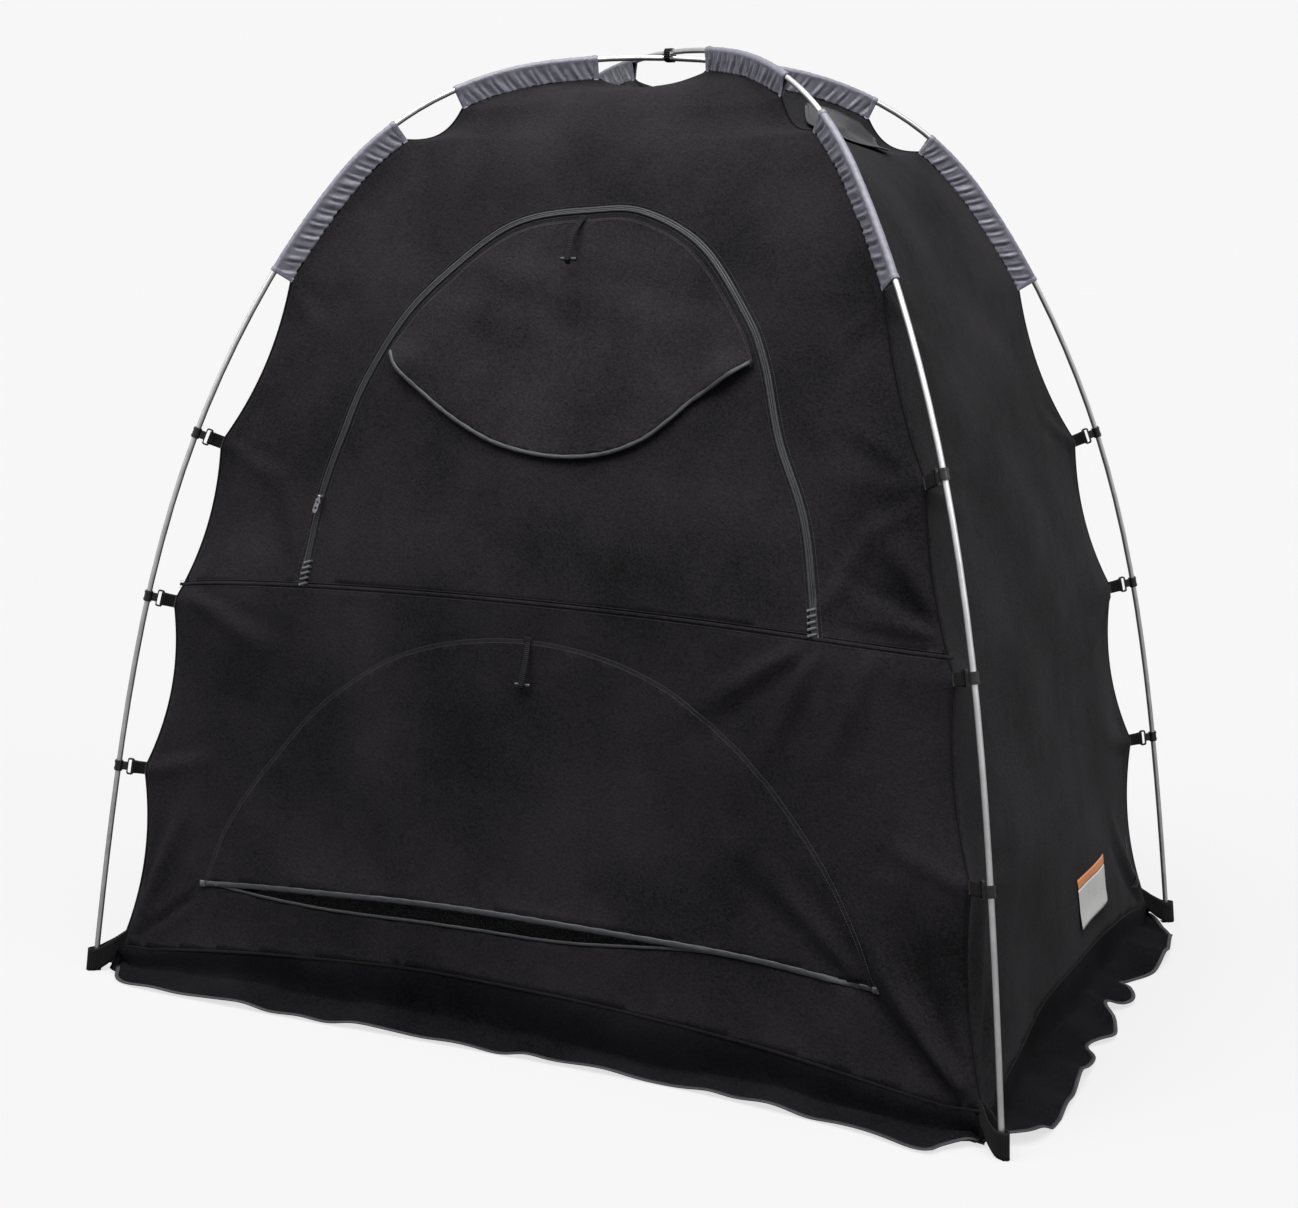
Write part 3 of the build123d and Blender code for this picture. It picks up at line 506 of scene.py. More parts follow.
# ---- the canopy's walls
# a runs across a wall, to the right as seen from outside, and t down it from the crossing.
FACINGS = {
    "front": (np.array([1.0, 0, 0]), np.array([0, -1.0, 0]), DX, DY, ("front_left", "front_right")),
    "right": (np.array([0, 1.0, 0]), np.array([1.0, 0, 0]), DY, DX, ("front_right", "back_right")),
    "back": (np.array([-1.0, 0, 0]), np.array([0, 1.0, 0]), DX, DY, ("back_right", "back_left")),
    "left": (np.array([0, -1.0, 0]), np.array([-1.0, 0, 0]), DY, DX, ("back_left", "front_left")),
}
EDGE_PULL = 0.11  # how far in a scallop pulls the wall
SWELL = 0.0022  # height of the cloth's slow waves
BOW = {"front": 0.012, "right": 0.010, "back": 0.012, "left": 0.010}
ROOF_SAG = {"front": (0.016, 0.13, 0.10), "right": (0.044, 0.27, 0.15),
            "back": (0.016, 0.13, 0.10), "left": (0.020, 0.22, 0.13)}  # depth, place and length


def ridge(a, t, start, end, width, height):
    """A tension fold: widening and fading away from where it is held."""
    (a0, z0), (a1, z1) = start, end
    p0, p1 = np.array([a0, t_at(z0)]), np.array([a1, t_at(z1)])
    run = p1 - p0
    length = np.hypot(*run)
    along = ((a - p0[0]) * run[0] + (t - p0[1]) * run[1]) / length**2
    beside = ((a - p0[0]) * run[1] - (t - p0[1]) * run[0]) / length
    wide = width * (0.35 + 0.65 * np.clip(along, 0, 1))
    fade = smoothstep(along / 0.12) * smoothstep((1 - along) / 0.6)
    crest = np.exp(-(beside / wide) ** 2) - 0.55 * np.exp(-((beside - 1.7 * wide) / wide) ** 2)
    return height * fade * crest


FOLDS = {
    "front": [
        ((0.648, 0.662), (0.490, 0.830), 0.026, 0.0100),
        ((0.655, 0.660), (0.575, 0.860), 0.018, 0.0070),
        ((0.640, 0.668), (0.430, 0.760), 0.016, -0.0070),
        ((0.645, 0.664), (0.440, 0.690), 0.013, 0.0050),
        ((0.445, 0.680), (0.560, 0.900), 0.024, 0.0055),
        ((0.430, 0.642), (0.220, 0.500), 0.024, 0.0070),
        ((0.450, 0.640), (0.340, 0.400), 0.022, 0.0060),
        ((0.530, 0.640), (0.450, 0.420), 0.022, 0.0045),
        ((0.708, 0.050), (0.530, 0.250), 0.022, 0.0160),
        ((0.708, 0.060), (0.610, 0.360), 0.024, 0.0090),
        ((0.700, 0.052), (0.420, 0.400), 0.026, 0.0080),
        ((0.560, 0.178), (0.330, 0.380), 0.024, 0.0080),
        ((-0.700, 0.060), (-0.545, 0.172), 0.007, -0.0080),
        ((-0.708, 0.062), (-0.570, 0.360), 0.022, 0.0080),
        ((-0.630, 0.630), (-0.400, 0.520), 0.026, 0.0050),
        ((-0.400, 0.655), (-0.470, 0.860), 0.022, 0.0050),
        ((-0.580, 0.870), (-0.420, 0.780), 0.022, 0.0035),
        ((0.585, 0.870), (0.430, 0.960), 0.022, 0.0045),
        ((0.585, 0.860), (0.450, 0.800), 0.020, -0.0040),
        ((0.490, 1.115), (0.400, 1.010), 0.020, 0.0035),
        ((-0.490, 1.115), (-0.400, 1.020), 0.020, 0.0030),
        ((-0.690, 0.335), (-0.500, 0.380), 0.020, 0.0035),
        ((0.690, 0.335), (0.520, 0.400), 0.020, 0.0035),
    ],
    "right": [
        ((-0.498, 0.050), (-0.250, 0.300), 0.024, 0.0090),
        ((-0.498, 0.060), (-0.380, 0.420), 0.022, 0.0070),
        ((0.495, 0.050), (0.280, 0.280), 0.024, 0.0090),
        ((-0.455, 0.610), (-0.220, 0.660), 0.025, 0.0040),
        ((0.455, 0.610), (0.250, 0.520), 0.025, 0.0040),
        ((-0.410, 0.860), (-0.200, 0.800), 0.025, 0.0040),
        ((0.410, 0.860), (0.220, 0.940), 0.025, 0.0040),
        ((-0.485, 0.335), (-0.250, 0.300), 0.025, 0.0040),
        ((0.485, 0.335), (0.260, 0.390), 0.025, 0.0040),
        ((-0.345, 1.110), (-0.180, 1.020), 0.025, 0.0040),
        ((0.345, 1.110), (0.190, 1.010), 0.025, 0.0040),
    ],
}
FOLDS["left"] = FOLDS["right"]
FOLDS["back"] = [(s, e, w, h * 0.8) for s, e, w, h in FOLDS["front"] if abs(s[0]) > 0.57]


def wall(facing, a, t, off=0.0):
    """Points on a wall's outer face, moved outward by off."""
    across, out, along, depth, legs = FACINGS[facing]
    a, t = np.broadcast_arrays(np.asarray(a, float), np.asarray(t, float))
    t = np.clip(t, 0, POLE_HALF)
    wall_reach, wall_z = np.interp(t, S, WALL_REACH), np.interp(t, S, WALL_Z)
    edge_reach, edge_z = np.interp(t, S, EDGE_REACH), np.interp(t, S, EDGE_Z)
    edge = edge_reach * along
    inside = np.maximum(edge - np.abs(a), 0)
    near = np.exp(-inside / EDGE_PULL)
    leg_lift = np.where(a > 0, LIFT[legs[1]], LIFT[legs[0]]) * np.clip(t / 0.1, 0, 1)
    leg_lift = leg_lift * np.exp(-inside / 0.05)
    reach = (wall_reach + (edge_reach - wall_reach) * near) * depth
    z = wall_z + (edge_z - wall_z) * near + leg_lift
    angle = np.interp(t, S, ANGLE)
    normal_out, normal_z = np.sin(angle), np.cos(angle) * depth
    size = np.hypot(normal_out, normal_z)
    middle = 1 - np.clip(np.abs(a) / np.maximum(edge, 1e-6), 0, 1) ** 2
    sag, sag_t, sag_length = ROOF_SAG[facing]
    bow = BOW[facing] * middle * np.exp(-((t - 0.62) / 0.35) ** 2)
    bow = bow + sag * middle * np.exp(-((t - sag_t) / sag_length) ** 2) * smoothstep(t / 0.06)
    held = smoothstep(inside / 0.03)
    waves = np.sin(a * 13 + t * 7) + np.sin(a * 7 - t * 11 + 1) + 0.6 * np.sin(a * 21 - t * 17 + 2)
    fold = sum((ridge(a, t, *f) for f in FOLDS[facing]), np.zeros(a.shape))
    fold = (fold + SWELL * waves * smoothstep(t / 0.3)) * held
    shift = off - bow + fold
    reach = reach + shift * normal_out / size
    z = z + shift * normal_z / size
    return a[..., None] * across + reach[..., None] * out + z[..., None] * UP


def wall_normal(facing, a, t):
    h = 0.004
    da = wall(facing, a + h, t) - wall(facing, a - h, t)
    dt = wall(facing, a, t + h) - wall(facing, a, t - h)
    return unit(np.cross(dt, da))


def edge_line(side, t0, t1, facing="front", step=0.006):
    """The corner seam of one side of a wall, as (a, t) points."""
    along = FACINGS[facing][2]
    t = np.linspace(t0, t1, max(2, int(abs(t1 - t0) / step) + 1))
    return np.stack([side * np.interp(t, S, EDGE_REACH) * along, t], 1)


def down(points):
    """(across, height) points as (across, arc length) points."""
    points = np.asarray(points, float)
    return np.stack([points[:, 0], t_at(points[:, 1])], 1)


def inside_of(loop, points):
    """True for points inside a closed loop."""
    x, y = points[:, 0], points[:, 1]
    count = np.zeros(len(points), int)
    for (x0, y0), (x1, y1) in zip(loop, np.roll(loop, -1, axis=0)):
        crosses = (y0 > y) != (y1 > y)
        with np.errstate(divide="ignore", invalid="ignore"):
            at = x0 + (y - y0) * (x1 - x0) / (y1 - y0)
        count += crosses & (x < at)
    return count % 2 == 1


def patch(name, facing, outline, material, holes=(), off=0.0, spacing=0.011):
    """A piece of cloth cut to an outline on a wall. off is a number or a function of (a, t)."""
    loops = [np.asarray(outline)] + [np.asarray(h) for h in holes]
    low, high = loops[0].min(0), loops[0].max(0)
    row = spacing * 0.866
    grid = []
    for k, t in enumerate(np.arange(low[1], high[1], row)):
        start = low[0] + (k % 2) * spacing / 2
        grid.extend((a, t) for a in np.arange(start, high[0], spacing))
    grid = np.array(grid)
    keep = inside_of(loops[0], grid)
    for hole in loops[1:]:
        keep &= ~inside_of(hole, grid)
    grid = grid[keep]
    rim = np.vstack(loops)
    clear = np.full(len(grid), 9.0)
    for point in rim:
        clear = np.minimum(clear, np.hypot(*(grid - point).T))
    grid = grid[clear > spacing * 0.55]
    points = np.vstack([rim, grid])
    edges, start = [], 0
    for loop in loops:
        count = len(loop)
        edges += [(start + k, start + (k + 1) % count) for k in range(count)]
        start += count
    found, _, faces = delaunay_2d_cdt([tuple(p) for p in points], edges, [], 0, 1e-6)[:3]
    found, faces = np.array([tuple(p) for p in found]), np.array(faces)
    middle = found[faces].mean(1)
    keep = inside_of(loops[0], middle)
    for hole in loops[1:]:
        keep &= ~inside_of(hole, middle)
    faces = faces[keep]
    away = off(found[:, 0], found[:, 1]) if callable(off) else off
    places = wall(facing, found[:, 0], found[:, 1], away)
    piece = build(name, places, [tuple(f[::-1]) for f in faces.tolist()], material, found)
    return thicken(piece)


def on_wall(name, facing, line, kind, material, off=0.0, step=0.005, scale=None):
    """A strip swept along a line on a wall."""
    line = even(np.asarray(line), step)
    away = off(line[:, 0], line[:, 1]) if callable(off) else off
    centres = wall(facing, line[:, 0], line[:, 1], away)
    size = None if scale is None else scale(np.linspace(0, 1, len(line)))
    return sweep(name, centres, wall_normal(facing, line[:, 0], line[:, 1]), kind, material, size)


def stitches(name, facing, lines, off=0.0003, pitch=0.0042, length=0.0028, thick=0.0007):
    """Rows of thread laid as short raised dashes."""
    points, faces = [], []
    box = [(0, 1, 2, 3), (7, 6, 5, 4), (0, 4, 5, 1), (1, 5, 6, 2), (2, 6, 7, 3), (3, 7, 4, 0)]
    for line in lines:
        line = even(np.asarray(line), pitch)
        away = off(line[:, 0], line[:, 1]) if callable(off) else off
        centres = wall(facing, line[:, 0], line[:, 1], away)
        normals = wall_normal(facing, line[:, 0], line[:, 1])
        run = unit(np.gradient(centres, axis=0)) * length / 2
        side = unit(np.cross(run, normals)) * thick / 2
        for c, n, r, w in zip(centres, normals, run, side):
            k = len(points)
            low, high = -n * 0.0002, n * thick * 0.8
            points += [c - r - w + low, c + r - w + low, c + r + w + low, c - r + w + low]
            points += [c - 0.7 * r - 0.6 * w + high, c + 0.7 * r - 0.6 * w + high,
                       c + 0.7 * r + 0.6 * w + high, c - 0.7 * r + 0.6 * w + high]
            faces += [tuple(k + i for i in f) for f in box]
    return build(name, points, faces, "thread")


def dress(piece, body, slot_name, *nodes):
    """Rides a finished piece on a body and hides the CAD nodes it stands for; slot_name is not used."""
    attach(piece, body)
    if nodes:
        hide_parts(*nodes)
    return piece


def trim(name, facing, line, kind, material, body, slot_name, *nodes, **options):
    """A strip along a line on a wall, riding on a body."""
    dress(on_wall(name, facing, line, kind, material, **options), body, slot_name, *nodes)


# ---- lines on the front wall
HEM_RISE = {"front": 0.060, "back": 0.060, "right": 0.050, "left": 0.050}
HEM_LOW = 0.030


def hem_line(facing):
    """The arched hem between the foot seams, from left to right, as (a, t) points."""
    half = np.interp(FOOT_SEAM, S, EDGE_REACH) * FACINGS[facing][2]
    a = np.linspace(-half, half, 2 * int(half / 0.008) + 1)
    z = HEM_LOW + 0.004 + HEM_RISE[facing] * (1 - (a / half) ** 2)
    return np.stack([a, np.minimum(t_at(z), FOOT_SEAM)], 1)


def seam_height(x):
    """Height of the seam across the front wall."""
    return 0.661 - 0.020 * (x / 0.64) ** 2


ARCH = smooth_line([(-0.402, 0.652), (-0.3806, 0.785), (-0.350, 0.885), (-0.325, 0.962), (-0.273, 1.058),
                    (-0.217, 1.126), (-0.150, 1.186), (-0.085, 1.217), (0.005, 1.230), (0.094, 1.228),
                    (0.201, 1.178), (0.285, 1.085), (0.322, 1.018), (0.356, 0.915), (0.408, 0.803),
                    (0.441, 0.652)])
ARCH_T = down(ARCH)
HOOD_EDGE = smooth_line([(-0.284, 1.014), (-0.262, 0.985), (-0.204, 0.944), (-0.145, 0.911), (-0.075, 0.884),
                         (0.010, 0.872), (0.090, 0.879), (0.151, 0.902), (0.190, 0.932), (0.222, 0.963),
                         (0.262, 0.990), (0.306, 1.021)])
FREE_EDGE = smooth_line([(-0.565, 0.166), (-0.360, 0.186), (-0.100, 0.200), (0.150, 0.204), (0.380, 0.198),
                         (0.561, 0.184)])
VENT_ARC = smooth_line([(0.561, 0.184), (0.530, 0.259), (0.475, 0.346), (0.385, 0.451), (0.312, 0.511),
                        (0.226, 0.562), (0.120, 0.595), (0.000, 0.607), (-0.120, 0.595), (-0.226, 0.562),
                        (-0.312, 0.508), (-0.385, 0.445), (-0.475, 0.338), (-0.532, 0.250), (-0.565, 0.166)])


def gape(a):
    """How far the lower flap's free edge stands open, from 0 to 1."""
    return (1 - (1 - np.clip((a + 0.535) / 0.32, 0, 1)) ** 2) * smoothstep((0.36 - a) / 0.34)


def hood_off(a, t):
    """The hood stands a little proud of the door, most at its free edge and ears."""
    z = np.interp(t, S, WALL_Z)
    free = smoothstep((1.018 - z) / 0.10)
    ears = np.exp(-((np.abs(a - 0.01) - 0.268) / 0.036) ** 2) * np.exp(-((z - 0.994) / 0.035) ** 2)
    creases = 0.0016 * np.sin((z + 0.05 * np.sin(a * 7)) * 75) * np.exp(-((z - 1.12) / 0.07) ** 2)
    billow = 0.004 * np.exp(-(a / 0.2) ** 2 - ((z - 1.05) / 0.12) ** 2)
    return 0.0026 + 0.005 * free + 0.013 * ears + creases + billow


def lower_off(a, t):
    """The lower flap lies on the wall and lifts along its free edge."""
    z = np.interp(t, S, WALL_Z)
    rise = np.exp(-np.maximum(z - 0.20, 0) / 0.035)
    inner = smoothstep((0.55 - np.abs(a) * 0.95 - z * 0.3) / 0.2)
    waves = 0.002 * np.sin(a * 19 + 1) * rise
    return 0.0024 + 0.0015 * inner + (0.010 * gape(a) + waves * gape(a)) * rise


# ---- canopy
def make_front():
    """The lower and upper panels, with the vent opening and its mesh."""
    seam_t = float(t_at(0.650))
    left_up = edge_line(-1, seam_t, 0.0)
    right_down = edge_line(1, 0.0, seam_t)
    x = np.linspace(right_down[-1, 0], ARCH[-1, 0], 30)
    seam_right = down(np.stack([x, seam_height(x)], 1))
    x = np.linspace(ARCH[0, 0], left_up[0, 0], 30)
    seam_left = down(np.stack([x, seam_height(x)], 1))
    outline = np.vstack([left_up[1:], right_down[1:-1], seam_right, ARCH_T[::-1][1:-1], seam_left[:-1]])
    upper = patch("front_upper_cloth", "front", outline, "knit")
    dress(upper, "canopy", "black_knit", "front_upper_panel")

    x = np.linspace(left_up[0, 0], right_down[-1, 0], 120)
    top = down(np.stack([x, seam_height(x)], 1))
    right_edge = edge_line(1, seam_t, FOOT_SEAM)
    left_edge = edge_line(-1, FOOT_SEAM, seam_t)
    hem = hem_line("front")
    outline = np.vstack([top, right_edge[1:], hem[::-1][1:-1], left_edge[:-1]])
    lower_rim = FREE_EDGE.copy()
    lower_rim[:, 1] -= 0.002 + 0.029 * gape(lower_rim[:, 0])
    hole_top = inset(VENT_ARC, -0.014)
    hole_top = hole_top[(hole_top[:, 1] > 0.215)]
    hole = down(even(np.vstack([lower_rim[4:-4], hole_top, lower_rim[4:5]]), 0.008)[:-1])
    lower = patch("front_lower_cloth", "front", outline, "shaded_knit_low", holes=[hole])
    dress(lower, "canopy", "black_knit", "front_lower_panel")
    mesh = patch("lower_vent_net", "front", hole, "net", off=-0.0035, spacing=0.014)
    dress(mesh, "canopy", "vent_mesh", "lower_vent_mesh")
    rim_line = down(lower_rim[4:-4])
    trim("lower_vent_rim", "front", rim_line, "vent rim", "binding", "canopy", "zip_tape",
         off=lambda a, t: 0.0006 + 0.0008 * np.sin(a * 95) * np.sin(a * 37))


def make_wall(facing):
    """One plain side of the canopy, from its hem to the crossing."""
    left = edge_line(-1, FOOT_SEAM, 0.0, facing)
    right = edge_line(1, 0.0, FOOT_SEAM, facing)
    outline = np.vstack([left, right[1:], hem_line(facing)[::-1][1:-1]])
    piece = patch(facing + "_cloth", facing, outline, "shaded_knit_side", spacing=0.012)
    dress(piece, "canopy", "black_knit", facing + "_panel")


def make_edges():
    """A bound edge down each corner, between the fixing points, and the hem seams, in black knit painted
    darker: painted shade along the seams.
    """
    for leg in LEGS:
        s = np.arange(0.004, FOOT_SEAM, 0.005)
        centres = leg_way(leg) * np.interp(s, S, EDGE_REACH)[:, None]
        centres[:, 2] = np.interp(s, S, EDGE_Z) + lift_at(leg, s)
        outward = pole_frame(leg, s)[1]
        edge = sweep(leg + "_edge_binding", centres, outward, "corner edge", "seam_knit_shaded")
        dress(edge, "canopy", "black_knit")
    for facing in FACINGS:
        trim(facing + "_hem", facing, hem_line(facing), "hem", "seam_knit_shaded", "canopy", "black_knit")
    across = np.linspace(-0.636, 0.636, 160)
    seam = down(np.stack([across, seam_height(across)], 1))
    trim("cross_seam", "front", seam, "cross seam", "knit", "canopy", "black_knit")
    rows = [seam + np.array([0, d]) for d in (-0.0055, 0.0055)]
    dress(stitches("cross_seam_stitches", "front", rows), "canopy", "black_knit")
    arc = down(VENT_ARC)
    rows = [arc, inset(arc, 0.006)]
    sewn = stitches("lower_flap_stitches", "front", rows, off=lambda a, t: lower_off(a, t) + 0.0003)
    dress(sewn, "canopy", "black_knit")


# ---- door, zip and vents
COIL_PITCH = 0.0009  # spacing of the points along the zip's coil
BARTACKS, TACK_PITCH, TACK_HALF = 5, 0.0085, 0.0065  # the sewn bars at each end of the door zip


def make_door():
    """The door with its window, the mesh behind the hood, and both zip tapes with the coil."""
    x = np.linspace(ARCH[-1, 0] - 0.002, ARCH[0, 0] + 0.002, 80)
    foot = down(np.stack([x, seam_height(x) + 0.0015], 1))
    leaf = inset(ARCH_T, ZIP_WIDTH)
    window = inset(ARCH, 0.030)
    window = window[window[:, 1] > 1.030]
    hole = down(even(np.vstack([window, window[:1]]), 0.008)[:-1])
    outline = np.vstack([leaf[1:-1], foot])
    door = patch("door_cloth", "front", outline, "knit", holes=[hole])
    dress(door, "door", "black_knit", "door_panel")
    mesh = patch("upper_vent_net", "front", hole, "net", off=-0.0015, spacing=0.012)
    dress(mesh, "door", "vent_mesh", "upper_vent_mesh")

    for name, gap, body, node in (("outer", -0.0016, "canopy", "door_zip_fixed_tape"),
                                  ("inner", 0.0052, "door", "door_zip_moving_tape")):
        trim(f"door_zip_{name}_tape", "front", inset(ARCH_T, gap), "door zip tape", "tape", body, "zip_tape",
             node)
    coil_line = even(inset(ARCH_T, ZIP_WIDTH / 2), COIL_PITCH)
    pulse = 1 + 0.22 * np.sin(np.arange(len(coil_line)) * pi * 0.9)
    trim("door_zip_coil", "front", coil_line, "door zip coil", "coil", "canopy", "zip_tape",
         step=COIL_PITCH, scale=lambda u: np.interp(u, np.linspace(0, 1, len(pulse)), pulse))
    for name, gap, body in (("outer", -0.0075, "canopy"), ("inner", 0.0115, "door")):
        dress(stitches(f"door_zip_{name}_stitches", "front", [inset(ARCH_T, gap)]), body, "black_knit")
    for end, (x, z), way in (("left", ARCH[0], 1), ("right", ARCH[-1], -1)):
        for k in range(BARTACKS):
            y = z + 0.004 + TACK_PITCH * k
            middle = x + way * (0.144 * (y - z) + 0.0018)
            bar = down([(middle - TACK_HALF, y - 0.0022), (middle, y), (middle + TACK_HALF, y + 0.0022)])
            trim(f"zip_{end}_bartack_{k}", "front", bar, "zip bartack", "tack", "canopy", "zip_tape",
                 off=0.0016, step=0.0025)


def make_hood():
    """The hood over the upper vent and its free crescent flap, one piece of cloth."""
    crown = inset(ARCH, 0.0125)
    crown = crown[(crown[:, 1] > 1.014)]
    outline = down(np.vstack([crown, HOOD_EDGE[::-1][1:-1]]))
    outline = even(np.vstack([outline, outline[:1]]), 0.007)[:-1]
    hood = patch("upper_vent_cloth", "front", outline, "lit_knit_hood", off=hood_off, spacing=0.008)
    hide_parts("upper_vent_hood", "upper_vent_flap")
    edge = on_wall("upper_flap_binding", "front", down(HOOD_EDGE), "crescent edge", "binding", off=hood_off,
                   scale=lambda u: 1 + 0.08 * np.sin(u * 140))
    for piece in (hood, edge):
        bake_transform(piece)
    sewn = stitches("hood_stitches", "front", [down(inset(crown, 0.004))],
                    off=lambda a, t: hood_off(a, t) + 0.0003)
    dress(sewn, "door", "black_knit")


def make_lower_flap():
    """The big lower flap, held along its arched top, with a bound free edge."""
    outline = down(np.vstack([VENT_ARC[:-1], FREE_EDGE[:-1]]))
    flap = patch("lower_flap_cloth", "front", outline, "shaded_knit_low", off=lower_off, spacing=0.011)
    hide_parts("lower_vent_flap")
    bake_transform(flap)
    trim("lower_flap_binding", "front", down(FREE_EDGE), "lower flap edge", "binding", "lower_flap",
         "zip_tape", off=lower_off, scale=lambda u: 1 + 0.07 * np.sin(u * 190))
    for end, (x, z) in (("left", FREE_EDGE[0]), ("right", FREE_EDGE[-1])):
        bar = down([(x - 0.0045, z), (x, z), (x + 0.0045, z)])
        trim(f"lower_flap_{end}_bartack", "front", bar, "flap bartack", "tack", "canopy", "zip_tape",
             off=0.0012, step=0.002)


# ---- skirts
SKIRT = {  # the bound rim as (across, outward) points, from left to right
    "front": [(-0.745, 0.480), (-0.738, 0.505), (-0.719, 0.530), (-0.657, 0.569), (-0.370, 0.563),
              (-0.167, 0.550), (0.033, 0.539), (0.267, 0.530), (0.412, 0.537), (0.562, 0.549),
              (0.661, 0.571), (0.684, 0.551), (0.700, 0.534), (0.716, 0.520), (0.731, 0.513)],
    "back": [(-0.737, 0.508), (-0.716, 0.536), (-0.650, 0.562), (-0.400, 0.550), (-0.150, 0.560),
             (0.120, 0.547), (0.380, 0.562), (0.650, 0.558), (0.716, 0.536), (0.737, 0.508)],
    "right": [(-0.523, 0.696), (-0.518, 0.722), (-0.494, 0.763), (-0.466, 0.785), (-0.391, 0.796),
              (-0.231, 0.792), (-0.151, 0.788), (-0.115, 0.769), (-0.061, 0.795), (0.000, 0.785),
              (0.035, 0.762), (0.098, 0.790), (0.140, 0.778), (0.177, 0.756), (0.249, 0.788),
              (0.330, 0.796), (0.393, 0.790), (0.460, 0.778), (0.520, 0.740), (0.552, 0.700)],
    "left": [(-0.540, 0.700), (-0.520, 0.735), (-0.420, 0.792), (-0.250, 0.780), (-0.080, 0.794),
             (0.100, 0.778), (0.280, 0.795), (0.430, 0.788), (0.520, 0.735), (0.540, 0.700)],
}


SKIRT_DROP = 0.11  # length of cloth from the hem to the rim, for the weave
RUFFLE = {"front": 0.35, "back": 0.35, "right": 1.0, "left": 1.0}  # how much each rim is ruffled
RIM_CLEAR = 0.0016  # lowest that a skirt lies above the floor


def make_skirt(facing):
    """A hanging strip that turns out along the floor, with a bound and ruffled edge."""
    across, out = FACINGS[facing][:2]
    rim = smooth_line(SKIRT[facing], 0.004)
    low, high = rim[0, 0], rim[-1, 0]
    step, rows = 0.007, 34
    count = int((high - low) / step)
    hem = hem_line(facing)
    a = np.linspace(low, high, count)
    outer = np.interp(a, rim[:, 0], rim[:, 1])
    hem_a = np.clip(a, hem[0, 0] + 0.002, hem[-1, 0] - 0.002)
    start = wall(facing, hem_a, np.interp(hem_a, hem[:, 0], hem[:, 1]), -0.0012)
    start_out, start_z = start @ out, start[:, 2]
    v = np.linspace(0, 1, rows)[:, None]
    # the strip falls from the hem, tucks under it and lies out along the floor
    shares = ((1 - v) ** 3, 3 * v * (1 - v) ** 2, 3 * v ** 2 * (1 - v), v ** 3)
    hang_out = sum(p * q for p, q in zip((start_out, start_out + 0.012, start_out - 0.018, outer), shares))
    hang_z = sum(p * q for p, q in zip((start_z, start_z * 0.62, -0.008, 0.0045), shares))
    phase = np.cumsum(1 + 0.35 * np.sin(a * 17.0 + 1) + 0.2 * np.sin(a * 41.0)) * (a[1] - a[0])
    waves = np.sin(phase * 48) * 0.0060 + np.sin(phase * 21 + 2) * 0.007
    swell = smoothstep(v / 0.5) * RUFFLE[facing] * (waves + 0.005)
    bulge = np.sin(v * pi) * 0.006 * np.sin(phase * 14 + 0.7)
    out_at = hang_out + bulge * (1 - v)
    lying = 0.008 * np.sin(np.clip((v - 0.55) / 0.45, 0, 1) * pi)
    z_at = np.maximum(hang_z + lying + swell * v, RIM_CLEAR)
    corner = smoothstep(np.minimum(a - low, high - a) / 0.02)
    points = (a * (1 - 0.006 * v))[..., None] * across + out_at[..., None] * out
    points = points + (z_at * (0.3 + 0.7 * corner) + 0.0006)[..., None] * UP
    uv = pairs(a, v[:, 0] * SKIRT_DROP)
    piece = lattice(facing + "_skirt_cloth", points[::-1], "shaded_knit_skirt", uv[::-1])
    thicken(piece)
    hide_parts(facing + "_skirt")
    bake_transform(piece)
    edge = sweep(facing + "_skirt_binding", points[-1] + 0.0005 * UP, np.tile(UP, (count, 1)), "skirt rim",
                 "tape")
    dress(edge, facing + "_skirt", "zip_tape")


# ---- sleeves
GATHERS = [(0.0135, 1.0), (0.0085, 0.5), (0.034, 0.8)]  # pitch and share of each set of puckers
PUCKER = 0.0030  # depth of the puckers by the seam
SLANT = 0.013  # how far the puckers lean along the pole
SATIN = 0.0005  # thickness of the satin


